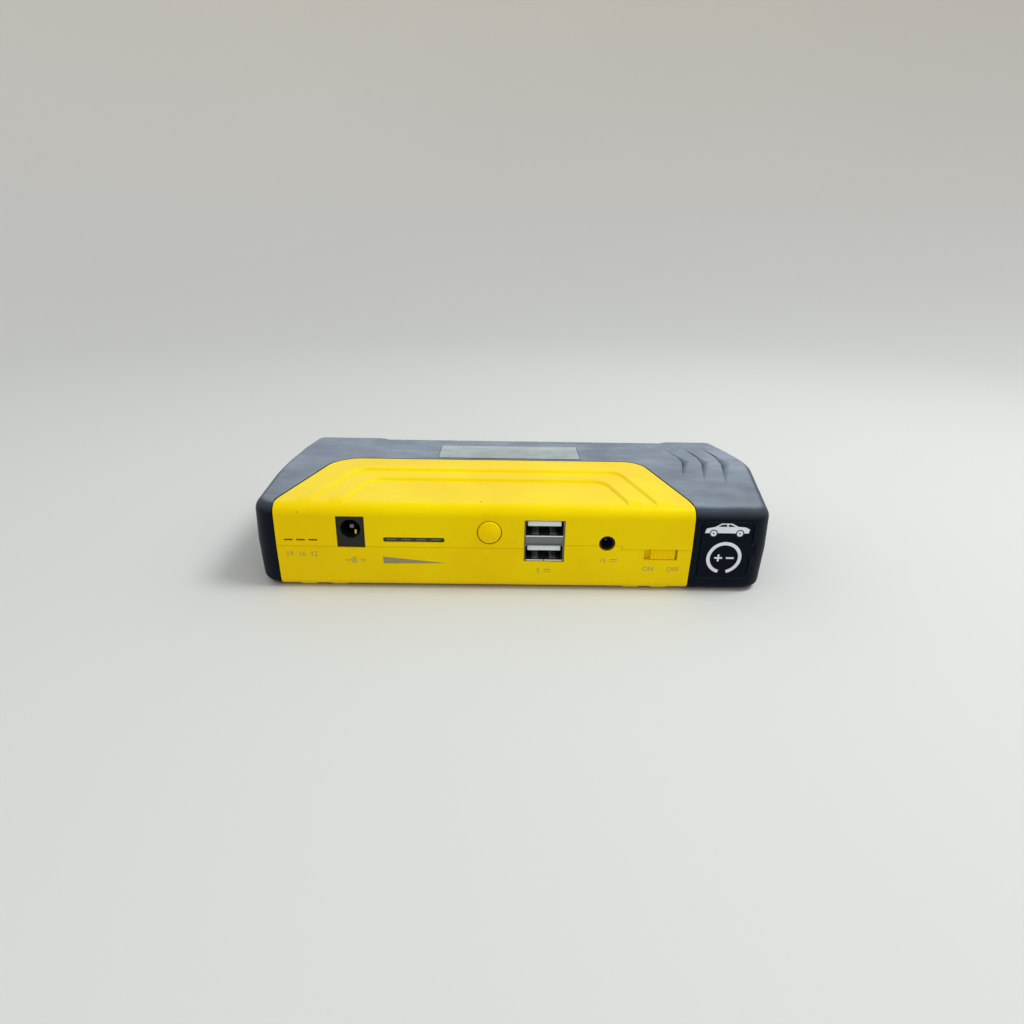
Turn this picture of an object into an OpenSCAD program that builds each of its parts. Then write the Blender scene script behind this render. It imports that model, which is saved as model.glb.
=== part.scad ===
// Car jump starter pack: a flat lithium booster in two black shells, with a yellow
// panel wrapped round the front of each. The sockets, the button and the slide switch
// sit in the front, the engine start socket is behind a rubber cover at the right, and
// the torch is at the left end.
// The origin is at the middle of the underside. The front faces -Y, and +Z is up.

/* [Body] */
// Depth from the front face to the back face
body_depth = 80; // [76:1:86]
// Height over the panel ribs and the raised back corners
body_h = 31; // [30:0.5:33]
// Height of the upper shell, from the line where the two shells meet
upper_h = 15.4; // [15:0.1:16]
// How far the plain surfaces lie below the ribs and the raised corners
level_drop = 0.8; // [0.4:0.1:1]
// Draft angle of the outer walls, away from the parting line
draft = 2; // [0.5:0.5:3]
// Radius of the upper long edges, at the level of the ribs
edge_r = 5; // [4.4:0.2:6]
// Radius of the lower long edges, at the level of the ribs
foot_r = 3.3; // [3:0.1:4]
// Distance from the middle to the corner at the front left
front_left = 87.5; // [86:0.5:90]
// Distance from the middle to the corner at the front right
front_right = 82.5; // [82.5:0.5:86]
// Distance from the middle to the point of the left end
left_point = 91.4; // [90:0.2:94]
// Distance from the middle to the point of the right end
right_point = 93.7; // [92:0.1:95]
// Distance from the middle to the corner at the back left
back_left = 87; // [86:0.5:91]
// Distance from the middle to the corner at the back right
back_right = 85.5; // [83:0.5:88]
// Distance of the points of the ends behind the middle
point_y = 12; // [8:1:15]

/* [Walls] */
// Thickness of the yellow panels
panel_t = 1.5; // [1.2:0.1:1.8]
// Depth of the seat for the panels in the black shells
seat_depth = 1.6; // [1.3:0.1:1.9]
// Full wall of the black shells
wall = 3; // [2.8:0.1:3.2]
// Gap round the edge of a panel
panel_gap = 0.3; // [0.2:0.05:0.5]
// Height of the fine gap between the upper and the lower pieces
reveal = 0.3; // [0.2:0.05:0.4]
// Height of the raised step of the parting line, at the input jack
step_h = 1.2; // [0.8:0.1:1.4]

/* [Panel] */
// Distance from the middle to the left edge of the panel, on the front face
panel_left = 79.7; // [78.5:0.1:80.5]
// Distance from the middle to the right edge of the panel, on the front face
panel_right = 57.7; // [57:0.1:58]
// Distance from the middle back to the rear edge of the panel
panel_back = 9.8; // [8:0.1:10.5]
// Distance from the panel's rear edge to the first rib
rib_inset = 10.2; // [9:0.2:11]
// Distance from one rib to the next, which is 1 less at the right
rib_pitch = 10.4; // [9.6:0.1:11]
// Width of a rib with its sloping inner side
rib_w = 4.8; // [4.2:0.2:5.6]
// Width of the sloping inner side of a rib
rib_slope = 1; // [0.6:0.2:1.6]

/* [Top] */
// Length of the bare label plate
plate_l = 56; // [50:1:60]
// Width of the label plate
plate_w = 16.4; // [14:0.2:17]
// Thickness of the label plate
plate_t = 0.4; // [0.3:0.1:0.6]
// Depth of the arrow grooves on the right end
arrow_depth = 0.5; // [0.3:0.1:0.8]
// Distance from one arrow groove to the next
arrow_pitch = 8; // [7.4:0.1:8.4]
// Number of grip notches along the rear edge
notch_count = 10; // [6:1:12]
// Distance from one grip notch to the next
notch_pitch = 11.7; // [10:0.1:12]
// Depth of the grip notches, in the rounding of the edge
notch_depth = 1.5; // [1:0.1:1.7]

/* [DC output] */
// Sideways place of the output jack
output_x = -55.2; // [-57:0.2:-54]
// Width of the output jack
output_w = 9; // [8.6:0.1:9.4]
// Height of the output jack
output_h = 10.8; // [10.4:0.1:11]
// Bore of the output jack
output_bore = 6.5; // [6:0.1:7]
// Diameter of the pin in the output jack
output_pin_d = 2.1; // [1.7:0.1:2.5]
// Thickness of the circuit boards
board_t = 1.6; // [1:0.2:1.6]
// How far the top face of the output board lies below the parting line
output_board_drop = 0.4; // [0.3:0.1:0.6]

/* [USB output] */
// Sideways place of the double USB socket
usb_x = 8.35; // [7.5:0.1:9.5]
// Width of the metal shell
usb_w = 13.2; // [13:0.1:13.6]
// Height of the metal shell
usb_h = 14.8; // [14.4:0.1:15]
// Depth of the metal shell
usb_depth = 17; // [15:1:18]
// Thickness of the sheet metal
usb_sheet = 0.4; // [0.3:0.05:0.5]
// Clear height of one port
port_h = 5.2; // [5:0.05:5.3]
// How far the top face of the main board lies below the parting line
main_board_drop = 5; // [4.8:0.1:5.2]

/* [Input jack] */
// Sideways place of the charging jack
input_x = 29.1; // [28:0.2:30]
// Height of the middle of the charging jack over the parting line
input_rise = 2.1; // [1.6:0.1:2.4]
// Outside diameter of the sleeve of the charging jack
input_d = 5.2; // [5:0.1:5.6]
// Bore of the charging jack
input_bore = 4; // [3.6:0.1:4.2]
// Diameter of the pin in the charging jack
input_pin_d = 1.3; // [1:0.1:1.5]

/* [Button and lights] */
// Sideways place of the power button
button_x = -9.8; // [-11:0.2:-9]
// Height of the middle of the power button over the parting line
button_rise = 5.5; // [5.2:0.1:5.8]
// Diameter of the power button
button_d = 7.8; // [7.4:0.1:8.2]
// Travel of the power button
button_travel = 0.6; // [0.4:0.1:0.8]
// Running gap round the button and the switch knob
moving_gap = 0.15; // [0.1:0.05:0.25]
// Sideways place of the middle of the level window
window_x = -34.6; // [-36:0.2:-33]
// Length of the level window
window_l = 20; // [18:0.5:21]
// Height of the level window
window_h = 1.5; // [1.2:0.1:2]
// Height of the level window over the parting line
lights_rise = 2.6; // [2.4:0.1:2.8]
// How much lower the voltage lights are than the level window
volt_drop = 0.4; // [0.2:0.1:0.6]
// Number of voltage lights
volt_count = 3; // [2:1:3]
// Distance from one voltage light to the next
volt_pitch = 4; // [3.6:0.1:4.4]

/* [Slide switch] */
// Sideways place of the middle of the switch slot
switch_x = 47.2; // [46:0.2:48]
// Length of the switch slot
slot_l = 11.2; // [10.8:0.1:12]
// Height of the switch slot
slot_h = 4; // [3.6:0.1:4.2]
// Length of the ribbed switch knob
knob_l = 8.2; // [7.6:0.1:8.6]
// Travel of the switch knob
knob_travel = 2; // [1.5:0.1:2.2]
// Length of the knob's wings, which close the slot behind the panel
wing_l = 3; // [2.8:0.1:3.2]

/* [Engine start socket] */
// Sideways place of the middle of the engine start cover
cover_x = 68.4; // [68:0.1:69]
// Width of the cover
cover_w = 16.8; // [16.4:0.1:17.4]
// How much lower the cover is than the body
cover_drop = 10.4; // [10:0.1:11]
// Thickness of the cover's rubber plate
cover_t = 1.8; // [1.4:0.1:2]
// Width of the moulded engine start socket
socket_w = 12.4; // [11.8:0.1:12.8]
// Bore of the contacts
contact_bore = 5; // [4.6:0.1:5.2]
// Wall of the contacts
contact_wall = 0.6; // [0.4:0.1:0.8]
// Largest opening angle of the cover
cover_angle = 115; // [90:5:120]

/* [Torch] */
// Distance of the torch behind the middle
torch_y = 10; // [6:1:12]
// Diameter of the torch lens
torch_d = 11; // [9:0.5:12]
// Depth of the torch reflector
torch_depth = 9; // [7:0.5:10]

/* [Battery] */
// Number of pouch cells in the stack
cell_count = 3; // [2:1:3]
// Thickness of the foam pads between the cells
pad_t = 0.5; // [0.3:0.1:1]
// Length of the pouch cells
cell_l = 126; // [110:1:128]
// Width of the pouch cells
cell_w = 41; // [38:1:42]

/* [Screws] */
// Diameter of the pilot bores in the upper shell's bosses
pilot_d = 2.5; // [2.2:0.1:2.7]
// Diameter of the screw heads
screw_head_d = 5; // [4.6:0.1:5.2]
// Height of the screw heads
screw_head_h = 2; // [1.6:0.1:2.2]

/* [Hidden] */

round_fn = 48;
small_fn = 24;
eps = 0.01;
fit_gap = 0.1;

// Height of the line where the two shells meet
parting_z = body_h - upper_h;
// Heights from the parting line, in each shell
up_full = upper_h;
low_full = parting_z;
up_base = up_full - level_drop;
low_base = low_full - level_drop;
fillet_steps = 4;
corner_steps = 6;
point_steps = 4;
front_y = -body_depth / 2;
back_y = body_depth / 2;
inner_front_y = front_y + wall;
// The ribs and raised corners start this part of the way up the edge rounding
rise = 0.4;

// Corner of the body: x, y, radius and number of steps round it
body_corners = [
    [-front_left, front_y, 9, corner_steps],
    [front_right, front_y, 7, corner_steps],
    [right_point, point_y, 24, point_steps],
    [back_right, back_y, 6, corner_steps],
    [-back_left, back_y, 5.5, corner_steps],
    [-left_point, point_y - 5, 150, corner_steps]
];

// The panel reaches past the front face, which trims it
panel_front_y = front_y - 5;
panel_corners = [
    [-panel_left - 0.4, panel_front_y, 0.5, 1],
    [panel_right + 0.4, panel_front_y, 0.5, 1],
    [panel_right - 0.45, front_y + 7.6, 14, point_steps],
    [panel_right - 9.7, panel_back, 9, corner_steps],
    [-panel_left + 9.5, panel_back, 12, corner_steps],
    [-panel_left - 0.4, front_y + 5.5, 14, point_steps]
];
rib_count = 2;

// Outer edge of rib k. It starts and ends well before the front face, so that the rib
// runs off over the front edge at both ends
function rib_corners(k) =
    let (y0 = front_y - 30, y1 = panel_back - rib_inset - k * rib_pitch,
         left = -panel_left - 1.9 + k * rib_pitch, right = panel_right + 0.75 - k * (rib_pitch - 1))
    [[left, y0, 0.5, 1], [right, y0, 0.5, 1],
     [right - 0.258 * (y1 - y0), y1, 10, corner_steps],
     [left + 0.263 * (y1 - y0), y1, 10, corner_steps]];

// Raised corners at the back, and the lower middle between them
dip_left = -53.5;
dip_right = 60.7;
pad_front_y = back_y - 15;
pad_slope = 2.5;
// Length that the front slopes of the raised corners have in addition
pad_run = 10;

// Places that follow the sizes
switch_z = parting_z - 1.8;
output_board_z = parting_z - output_board_drop;
main_board_z = parting_z - main_board_drop;
input_z = parting_z + input_rise;
button_z = parting_z + button_rise;
lights_z = parting_z + lights_rise;
switch_y = inner_front_y + 1.4;
knob_rest_x = switch_x + (slot_l - knob_l) / 2 - 0.7;
output_z = output_board_z + fit_gap + output_h / 2;
output_bore_z = output_z + 1;
usb_z = main_board_z + fit_gap + usb_h / 2;
volt_x = -71.7;
volt_z = lights_z - volt_drop;
volt_slit = [3, 0.6];
wing_h = slot_h + 1.1;
cover_h = body_h - cover_drop;
cover_z = parting_z + 0.1;
cover_plane_y = front_y - 0.1;
hinge_x = cover_x - cover_w / 2;
stem_y = inner_front_y + 2.2;
socket_front_y = front_y + 2.6;
socket_h = cover_h - 2;
contact_pitch = socket_h - 8.6;
torch_x = -left_point + 0.6;
torch_z = parting_z;
reflector_wall = 1;
battery_x = torch_x + torch_depth + 5.4 + cell_l / 2;
battery_y = back_y - wall - 8 - cell_w / 2;
battery_front_y = battery_y - cell_w / 2;
battery_z = parting_z - low_base + wall + 0.4;
// The cells fill the height between the walls, less the room for the pads
cell_t = (body_h - 2 * level_drop - 2 * wall - 1.3 - (cell_count - 1) * pad_t) / cell_count;
lead_y = battery_front_y - 3.4;
socket_depth = lead_y - 2 - socket_front_y;
cell_stack_h = cell_count * cell_t + (cell_count - 1) * pad_t;
boss_r = 3.1;
screw_places = [[-front_left + 5.2, front_y + 9], [-back_left + 6, back_y - 7], [3.6, back_y - 6],
                [back_right - 5.4, back_y - 7], [front_right - 1.8, front_y + 29.5]];
screw_seat_z = 3.4;
plate_x = -3.2;
plate_y = panel_back + 1.4 + plate_w / 2;
main_board_x = [0, 57];
output_board_x = [-79, -47.6];
indicator_x = [-46, -4.6];
indicator_y = front_y + 7.8;
board_front_y = inner_front_y + 0.4;
output_board_y = inner_front_y + 1.4;
board_back_y = lead_y - 1;
parts_y = board_back_y - 5.6;
indicator_top_z = parting_z + 9.8;

// ---- outlines -------------------------------------------------------------------

// Unit inward normal of the edge from corner i to the next one
function edge_normal(c, i) =
    let (n = len(c), a = c[(i + n) % n], b = c[(i + n + 1) % n],
         l = norm([b[0] - a[0], b[1] - a[1]]))
    [-(b[1] - a[1]) / l, (b[0] - a[0]) / l];

// Points round one corner of an outline that is drawn in by d
function corner_points(c, i, d) =
    let (n0 = edge_normal(c, i - 1), n1 = edge_normal(c, i), k = 1 + n0 * n1,
         r = max(c[i][2] - d, 0.3), steps = c[i][3],
         mid = [c[i][0], c[i][1]] + (n0 + n1) * (d + r) / k,
         a0 = atan2(n0[1], n0[0]), turn = acos(min(1, n0 * n1)))
    [for (s = [0:steps]) let (a = a0 + turn * s / steps) mid - r * [cos(a), sin(a)]];

// Rounded outline through all corners, drawn in by d
function outline(c, d) = [for (i = [0:len(c) - 1]) each corner_points(c, i, d)];

function ring(c, d, z) = [for (p = outline(c, d)) [p[0], p[1], z]];

// Outer skin of a shell, drawn in by t: pairs of height and draw-in, from the rim up
function skin(h, r, t, steps) = let (q = max(r - t, 0.3)) concat(
    [[reveal / 2, t]],
    [for (s = [0:steps]) let (a = 90 * s / steps)
        [h - t - q + q * sin(a), tan(draft) * (h - r) + t + q - q * cos(a)]]
);

function reversed(v) = [for (i = [len(v) - 1:-1:0]) v[i]];

// Solid through rings with the same number of points, closed by its first and last ring
module loft(rings) {
    n = len(rings[0]);
    m = len(rings);
    polyhedron(
        points = [for (r = rings) each r],
        faces = concat(
            [[for (i = [0:n - 1]) i]],
            [for (j = [0:m - 2], i = [0:n - 1]) let (k = (i + 1) % n)
                each [[j * n + i, (j + 1) * n + i, (j + 1) * n + k],
                      [j * n + i, (j + 1) * n + k, j * n + k]]],
            [[for (i = [n - 1:-1:0]) (m - 1) * n + i]]
        ),
        convexity = 6
    );
}

// Prism over an outline
module prism(c, d, z0, z1) {
    loft([ring(c, d, z0), ring(c, d, z1)]);
}

// Thin shell over the parting plane, from draw-in t0 to t1, with its rim at the reveal
module half_skin(h, r, t0, t1) {
    loft([for (p = concat(reversed(skin(h, r, t1, 3)), skin(h, r, t0, fillet_steps)))
        ring(body_corners, p[1], p[0])]);
}

// The same shell with a lip that stands up past the rim and enters the other shell
module half_skin_lip(h, r, t0, t1) {
    inner = skin(h, r, t1, 3);
    lip = [[4, t1], [3, t1 + 1.15], [-1.5, t1 + 1.15], [-1.5, t1 + fit_gap],
           [reveal / 2, t1 + fit_gap]];
    shelf = [for (i = [len(inner) - 1:-1:1]) inner[i]];
    loft([for (p = concat(shelf, lip, skin(h, r, t0, fillet_steps)))
        ring(body_corners, p[1], p[0])]);
}

// Puts a shell that is drawn upwards from its rim over, or under, the parting line
module place_half(upper) {
    translate([0, 0, parting_z]) mirror([0, 0, upper ? 0 : 1]) children();
}

// ---- cut-outs -------------------------------------------------------------------

// Rectangle with rounded corners, in the plane of the front face
module front_plate(x, z, w, h, r, y0, y1) {
    plate = [[x - w / 2, z - h / 2, r, 3], [x + w / 2, z - h / 2, r, 3],
             [x + w / 2, z + h / 2, r, 3], [x - w / 2, z + h / 2, r, 3]];
    translate([0, y1, 0]) rotate([90, 0, 0]) linear_extrude(y1 - y0) polygon(outline(plate, 0));
}

module front_rod(x, z, d, y0, y1, fn = round_fn) {
    translate([x, y1, z]) rotate([90, 0, 0]) cylinder(h = y1 - y0, d = d, $fn = fn);
}

// Every hole in the front wall, sized by what comes through it
module front_openings() {
    y0 = front_y - 2;
    y1 = inner_front_y + 1.2;
    front_plate(output_x, output_z, output_w + 2 * fit_gap, output_h + 2 * fit_gap, 0.3, y0, y1);
    front_plate(usb_x, usb_z, usb_w + 2 * fit_gap, usb_h + 2 * fit_gap, 0.2, y0, y1);
    front_rod(input_x, input_z, input_d + 2 * fit_gap, y0, y1);
    front_rod(button_x, button_z, button_d + 2 * moving_gap, y0, y1);
    front_plate(switch_x, switch_z, slot_l, slot_h, 0.3, y0, y1);
    front_plate(window_x, lights_z, window_l + 2 * fit_gap, window_h + 2 * fit_gap, 0.6, y0, y1);
    for (i = [0:volt_count - 1])
        front_plate(volt_x + (i - (volt_count - 1) / 2) * volt_pitch, volt_z,
            volt_slit[0], volt_slit[1], 0.2, y0, y1);
}

// Room in the black walls for the wings of the switch knob, at both ends of its travel
module wing_room() {
    reach = knob_l / 2 + wing_l + moving_gap;
    front_plate(knob_rest_x - knob_travel / 2, switch_z, 2 * reach + knob_travel, wing_h + 2 * moving_gap,
        0.3, front_y + 1, inner_front_y + 0.2);
}

// Pocket for the rubber cover, and the passage behind it for the socket
module cover_pocket() {
    tab_h = 4.6;
    front_plate(cover_x, cover_z, cover_w + 0.5, cover_h + 0.5, 1.4,
        front_y - 2, front_y + cover_t + 0.2);
    front_plate(cover_x + cover_w / 2, cover_z, 3.4, tab_h + 0.5, 0.6,
        front_y - 2, front_y + cover_t + 0.2);
    front_plate(cover_x, cover_z, socket_w + 0.2, socket_h + 0.2, 1.2,
        front_y - 2, inner_front_y + 3);
}

// The raised step of the parting line, across the input jack
module parting_step(gap) {
    x0 = usb_x + usb_w / 2 + fit_gap;
    x1 = input_x + 5;
    translate([x0 - 1, front_y - 2, parting_z - 1])
        cube([x1 - x0 + 1 + gap, wall + 2.2, 1 + step_h + gap]);
}

module torch_bore() {
    translate([-left_point - 3, torch_y, torch_z]) rotate([0, 90, 0])
        cylinder(h = 12, d = torch_d + 2 * reflector_wall + 2 * fit_gap, $fn = round_fn);
}

// Outlines of the two raised corners at the back, with their front edge moved forwards
function pad_corners(run) =
    let (y = pad_front_y - run, dx = 4 * (1 + run / (back_y + 8 - pad_front_y)))
    [[[-back_left - 8, y, 1, 2], [dip_left - dx, y, 6, 4],
      [dip_left, back_y + 8, 1, 2], [-back_left - 8, back_y + 8, 1, 2]],
     [[dip_right + dx, y, 6, 4], [back_right + 14, y, 1, 2],
      [back_right + 14, back_y + 8, 1, 2], [dip_right, back_y + 8, 1, 2]]];

// Raised corner regions over the two ends of the back edge: steep at their inner sides,
// and with a long gentle slope to the front
module pad_regions(h, r) {
    for (i = [0:1]) {
        low = pad_corners(pad_run)[i];
        high = pad_corners(0)[i];
        loft([ring(low, 0, h - r + rise * r), ring(low, 0, h - level_drop - eps),
              ring(high, pad_slope, h + eps), ring(high, pad_slope, h + 1)]);
    }
}

// Grip notches that cross the rounding of the rear edge between the raised corners
module rear_notches(h, r) {
    mid_x = (dip_left + dip_right) / 2;
    foot = (sqrt(2) - 1) * r + notch_depth;
    for (i = [0:notch_count - 1])
        translate([mid_x + (i - (notch_count - 1) / 2) * notch_pitch, back_y - tan(draft) * (h - r), h])
            rotate([-45, 0, 0]) rotate([0, 0, 20]) translate([-0.6, -3, -foot]) cube([1.2, 6, foot + 0.5]);
}

// Arrow grooves on top of the right end: a fine stroke that comes from the back, and a
// wedge that starts wide at the arrow's point and fades to the front
module arrow_grooves() {
    for (i = [0:2]) {
        x = 67.7 + i * arrow_pitch;
        y = 10.3 - 0.7 * i;
        start = [x - 5.2 - 0.6 * i, y + 14.6 + 2.4 * i];
        neck = start + 0.6 * ([x, y] - start) - [0.9, 0];
        translate([0, 0, up_base - arrow_depth]) linear_extrude(arrow_depth + 2)
            polygon([start, neck, [x - 2.7 - 0.6 * i, y - 0.4 - 0.6 * i],
                     [x - 7.2 - 1.3 * i, y - 20.2 - 3.4 * i], [x, y]]);
    }
}

// One whole black half: skin with a seat for the panel, and the raised back corners.
// r_full is the radius of its long edges at the level of the raised corners
module housing_half(h, h_full, r_full, lip) {
    r = r_full - level_drop;
    difference() {
        union() {
            difference() {
                half_skin(h, r, 0, seat_depth + 0.5);
                prism(panel_corners, 0, -2, h + 2);
            }
            if (lip)
                half_skin_lip(h, r, seat_depth, wall);
            else
                half_skin(h, r, seat_depth, wall);
            intersection() {
                half_skin(h_full, r_full, 0, seat_depth + 0.5);
                pad_regions(h_full, r_full);
            }
        }
        rear_notches(h, r);
    }
}

// ---- shells and panels ----------------------------------------------------------

// Upper black shell with its screw bosses
module upper_housing() color("#23262c") {
    difference() {
        union() {
            place_half(true) housing_half(up_base, up_full, edge_r, false);
            for (p = screw_places)
                translate([p[0], p[1], parting_z + fit_gap])
                    cylinder(h = up_base - wall + 0.6, r = boss_r, $fn = small_fn);
        }
        front_openings();
        wing_room();
        cover_pocket();
        parting_step(reveal);
        torch_bore();
        place_half(true) arrow_grooves();
        translate([plate_x, plate_y, body_h - level_drop - plate_t / 2 + 1])
            cube([plate_l + 0.4, plate_w + 0.4, 2], center = true);
        for (p = screw_places)
            translate([p[0], p[1], parting_z - 1])
                cylinder(h = 10, d = pilot_d, $fn = small_fn);
    }
}

// Lower black shell with its lip, screw seats, and stands for the boards
module lower_housing() color("#1f2227") {
    floor_z = level_drop + wall - 0.6;
    difference() {
        union() {
            place_half(false) housing_half(low_base, low_full, foot_r, true);
            for (p = screw_places)
                translate([p[0], p[1], level_drop + 0.4])
                    cylinder(h = parting_z - level_drop - 0.4 - fit_gap, r = boss_r, $fn = small_fn);
            for (x = [main_board_x[0] + 3, main_board_x[1] - 3], y = [board_back_y - 3])
                translate([x, y, floor_z])
                    cylinder(h = main_board_z - board_t - floor_z - 0.05, d = 5, $fn = small_fn);
            for (x = [output_board_x[0] + 4, output_board_x[1] - 4])
                translate([x, board_back_y - 3, floor_z])
                    cylinder(h = output_board_z - board_t - floor_z - 0.05, d = 5, $fn = small_fn);
            for (x = [indicator_x[0] + 0.5, indicator_x[1] - 2.5])
                translate([x, indicator_y - 1.4, floor_z])
                    cube([2, board_t + 2.8, parting_z - 1.8 - floor_z]);
        }
        front_openings();
        wing_room();
        cover_pocket();
        torch_bore();
        // room in the lip for the upper bosses, the button's collar and the socket's flange
        for (p = screw_places)
            translate([p[0], p[1], parting_z - 0.02])
                cylinder(h = 4, r = boss_r + 0.2, $fn = small_fn);
        front_rod(button_x, button_z, button_d + 2, inner_front_y - 0.1, inner_front_y + 4);
        front_plate(cover_x, cover_z, socket_w + 2, socket_h + 1.4, 1,
            inner_front_y + 0.4, inner_front_y + 4);
        // slots that hold the indicator board on edge
        translate([indicator_x[0] - 1, indicator_y - 0.1, main_board_z - 2])
            cube([indicator_x[1] - indicator_x[0] + 2, board_t + 0.2, 10]);
        for (p = screw_places) {
            translate([p[0], p[1], -1])
                cylinder(h = screw_seat_z + 1, d = screw_head_d + 0.5, $fn = small_fn);
            translate([p[0], p[1], 0])
                cylinder(h = parting_z + 1, d = pilot_d + 0.5, $fn = small_fn);
        }
    }
    // the raised step of the wall under the input jack
    difference() {
        intersection() {
            parting_step(0);
            translate([-100, front_y + seat_depth + 0.05, parting_z - 1])
                cube([200, wall - seat_depth + 0.15, 10]);
        }
        front_openings();
    }
}

// One yellow panel: skin, with ribs that follow its three sides
module panel_half(h, h_full, r_full) {
    intersection() {
        half_skin(h, r_full - level_drop, 0, panel_t);
        prism(panel_corners, panel_gap, -2, h + 2);
    }
    for (k = [0:rib_count - 1]) {
        c = rib_corners(k);
        crest_d = rib_w - rib_slope;
        intersection() {
            half_skin(h_full, r_full, 0, panel_t);
            difference() {
                prism(c, 0, h_full - r_full + rise * r_full, h_full + 2);
                loft([ring(c, rib_w, 0), ring(c, rib_w, h),
                      ring(c, crest_d, h_full), ring(c, crest_d, h_full + 3)]);
            }
        }
    }
}

module upper_front_panel() color("#e8c400") {
    difference() {
        place_half(true) panel_half(up_base, up_full, edge_r);
        front_openings();
        parting_step(reveal);
    }
}

module lower_front_panel() color("#e0bc00") {
    difference() {
        place_half(false) panel_half(low_base, low_full, foot_r);
        front_openings();
    }
    difference() {
        intersection() {
            parting_step(0);
            translate([0, front_y + 0.06 + (panel_t - 0.1) / 2, parting_z])
                cube([200, panel_t - 0.1, 40], center = true);
        }
        front_openings();
    }
}

// Bare plate in a shallow recess behind the panel
module label_plate() color("#2c3036") {
    translate([plate_x, plate_y, body_h - level_drop])
        cube([plate_l, plate_w, plate_t - 0.02], center = true);
}

// ---- button and switch ----------------------------------------------------------

// Round button with a domed face, a collar behind the wall and a stem to its switch
module power_button() color("#dcb800") {
    face_y = front_y - 0.25;
    cap_r = button_d / 2;
    dome = 0.5;
    collar_y = inner_front_y + 0.6;
    translate([button_x, 0, button_z]) rotate([-90, 0, 0]) rotate_extrude($fn = round_fn)
        polygon([[0, face_y - dome], [cap_r * 0.55, face_y - dome * 0.75], [cap_r - 0.4, face_y],
                 [cap_r, face_y + 0.4], [cap_r, collar_y],
                 [cap_r + 0.7, collar_y], [cap_r + 0.7, collar_y + 0.6],
                 [1.6, collar_y + 0.6], [1.6, stem_y], [0, stem_y]]);
}

// Small push switch on the indicator board, behind the button
module button_switch() color("#5a5d60") {
    can_y = stem_y + button_travel + 0.5;
    translate([button_x - 3, can_y, button_z - 3]) cube([6, indicator_y - can_y - 0.02, 6]);
    front_rod(button_x, button_z, 3.4, stem_y + button_travel + 0.05, can_y + 0.1, small_fn);
}

// Ribbed knob of the slide switch, with wings that close the slot behind the panel, and
// a stem and a foot that run inside the switch
module switch_knob() color("#d8b400") {
    knob_h = slot_h - 2 * moving_gap;
    knob_y = front_y + 0.5;
    rib_n = 7;
    translate([knob_rest_x, 0, switch_z]) {
        translate([-knob_l / 2, knob_y, -knob_h / 2])
            cube([knob_l, switch_y - 0.3 - knob_y, knob_h]);
        for (i = [0:rib_n - 1])
            translate([-knob_l / 2 + (i + 0.5) * knob_l / rib_n, knob_y, -knob_h / 2])
                cylinder(h = knob_h, r = 0.35, $fn = 12);
        translate([-knob_l / 2 - wing_l, front_y + panel_t + 0.3, -wing_h / 2])
            cube([knob_l + 2 * wing_l, 0.9, wing_h]);
        translate([-1, switch_y - 0.4, -0.9]) cube([2, 1.2, 1.8]);
        translate([-2, switch_y + 0.7, -1.5]) cube([4, 1.4, 3]);
    }
}

// Slide switch on the main board: a can with a slot, and a hollow that the foot runs in
module slide_switch() color("#a9adb0") {
    can = [12, 5, 6.4];
    hollow_x = knob_rest_x - knob_travel / 2;
    difference() {
        translate([switch_x - can[0] / 2, switch_y, main_board_z + 0.02]) cube(can);
        translate([hollow_x - 2.3, switch_y - 1, switch_z - 1.1]) cube([4.6, 2, 2.2]);
        translate([hollow_x - 3.4, switch_y + 0.5, switch_z - 1.8]) cube([6.8, 2, 3.6]);
    }
}

// ---- sockets --------------------------------------------------------------------

// Square moulded jack with a round bore, seated on the output board
module dc_output_jack() color("#24272a") {
    depth = 14;
    difference() {
        translate([output_x - output_w / 2, front_y + 0.5, output_z - output_h / 2])
            cube([output_w, depth, output_h]);
        front_rod(output_x, output_bore_z, output_bore, front_y - 1, front_y + 10);
        front_rod(output_x, output_bore_z, output_pin_d + 0.04, front_y, front_y + 20, small_fn);
        // slot for the sleeve contact
        translate([output_x - 1, front_y + 3, output_z - output_h / 2 + 0.8]) cube([2, 7, 4]);
    }
}

// Centre pin with a rounded nose, and the leaf contact under it
module dc_output_contacts() color("#c9b273") {
    pin_l = 12;
    translate([output_x, front_y + 3.6, output_bore_z]) rotate([-90, 0, 0]) {
        cylinder(h = pin_l, d = output_pin_d, $fn = small_fn);
        sphere(d = output_pin_d, $fn = small_fn);
    }
    translate([output_x - 0.8, front_y + 3.4, output_z - output_h / 2 + 1])
        rotate([12, 0, 0]) cube([1.6, 6, 0.3]);
}

// Sheet metal shell of the double socket: two ports and the folded web between them
module usb_shell() color("#b9bcc0") {
    y0 = front_y + 1;
    mouth = usb_w - 2 * usb_sheet;
    difference() {
        translate([usb_x - usb_w / 2, y0, usb_z - usb_h / 2]) cube([usb_w, usb_depth, usb_h]);
        for (s = [-1, 1])
            translate([usb_x - mouth / 2, y0 - 1, usb_port_z(s) - port_h / 2])
                cube([mouth, usb_depth - 1, port_h]);
        // hollow of the web, open to the front
        translate([usb_x - mouth / 2, y0 + 0.6, usb_z - usb_web() / 2 + usb_sheet])
            cube([mouth, usb_depth, usb_web() - 2 * usb_sheet]);
    }
}

// Height of a port's middle, and of the web between the ports
function usb_port_z(s) = usb_z + s * (usb_h / 2 - usb_sheet - port_h / 2);
function usb_web() = usb_h - 2 * usb_sheet - 2 * port_h;

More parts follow.
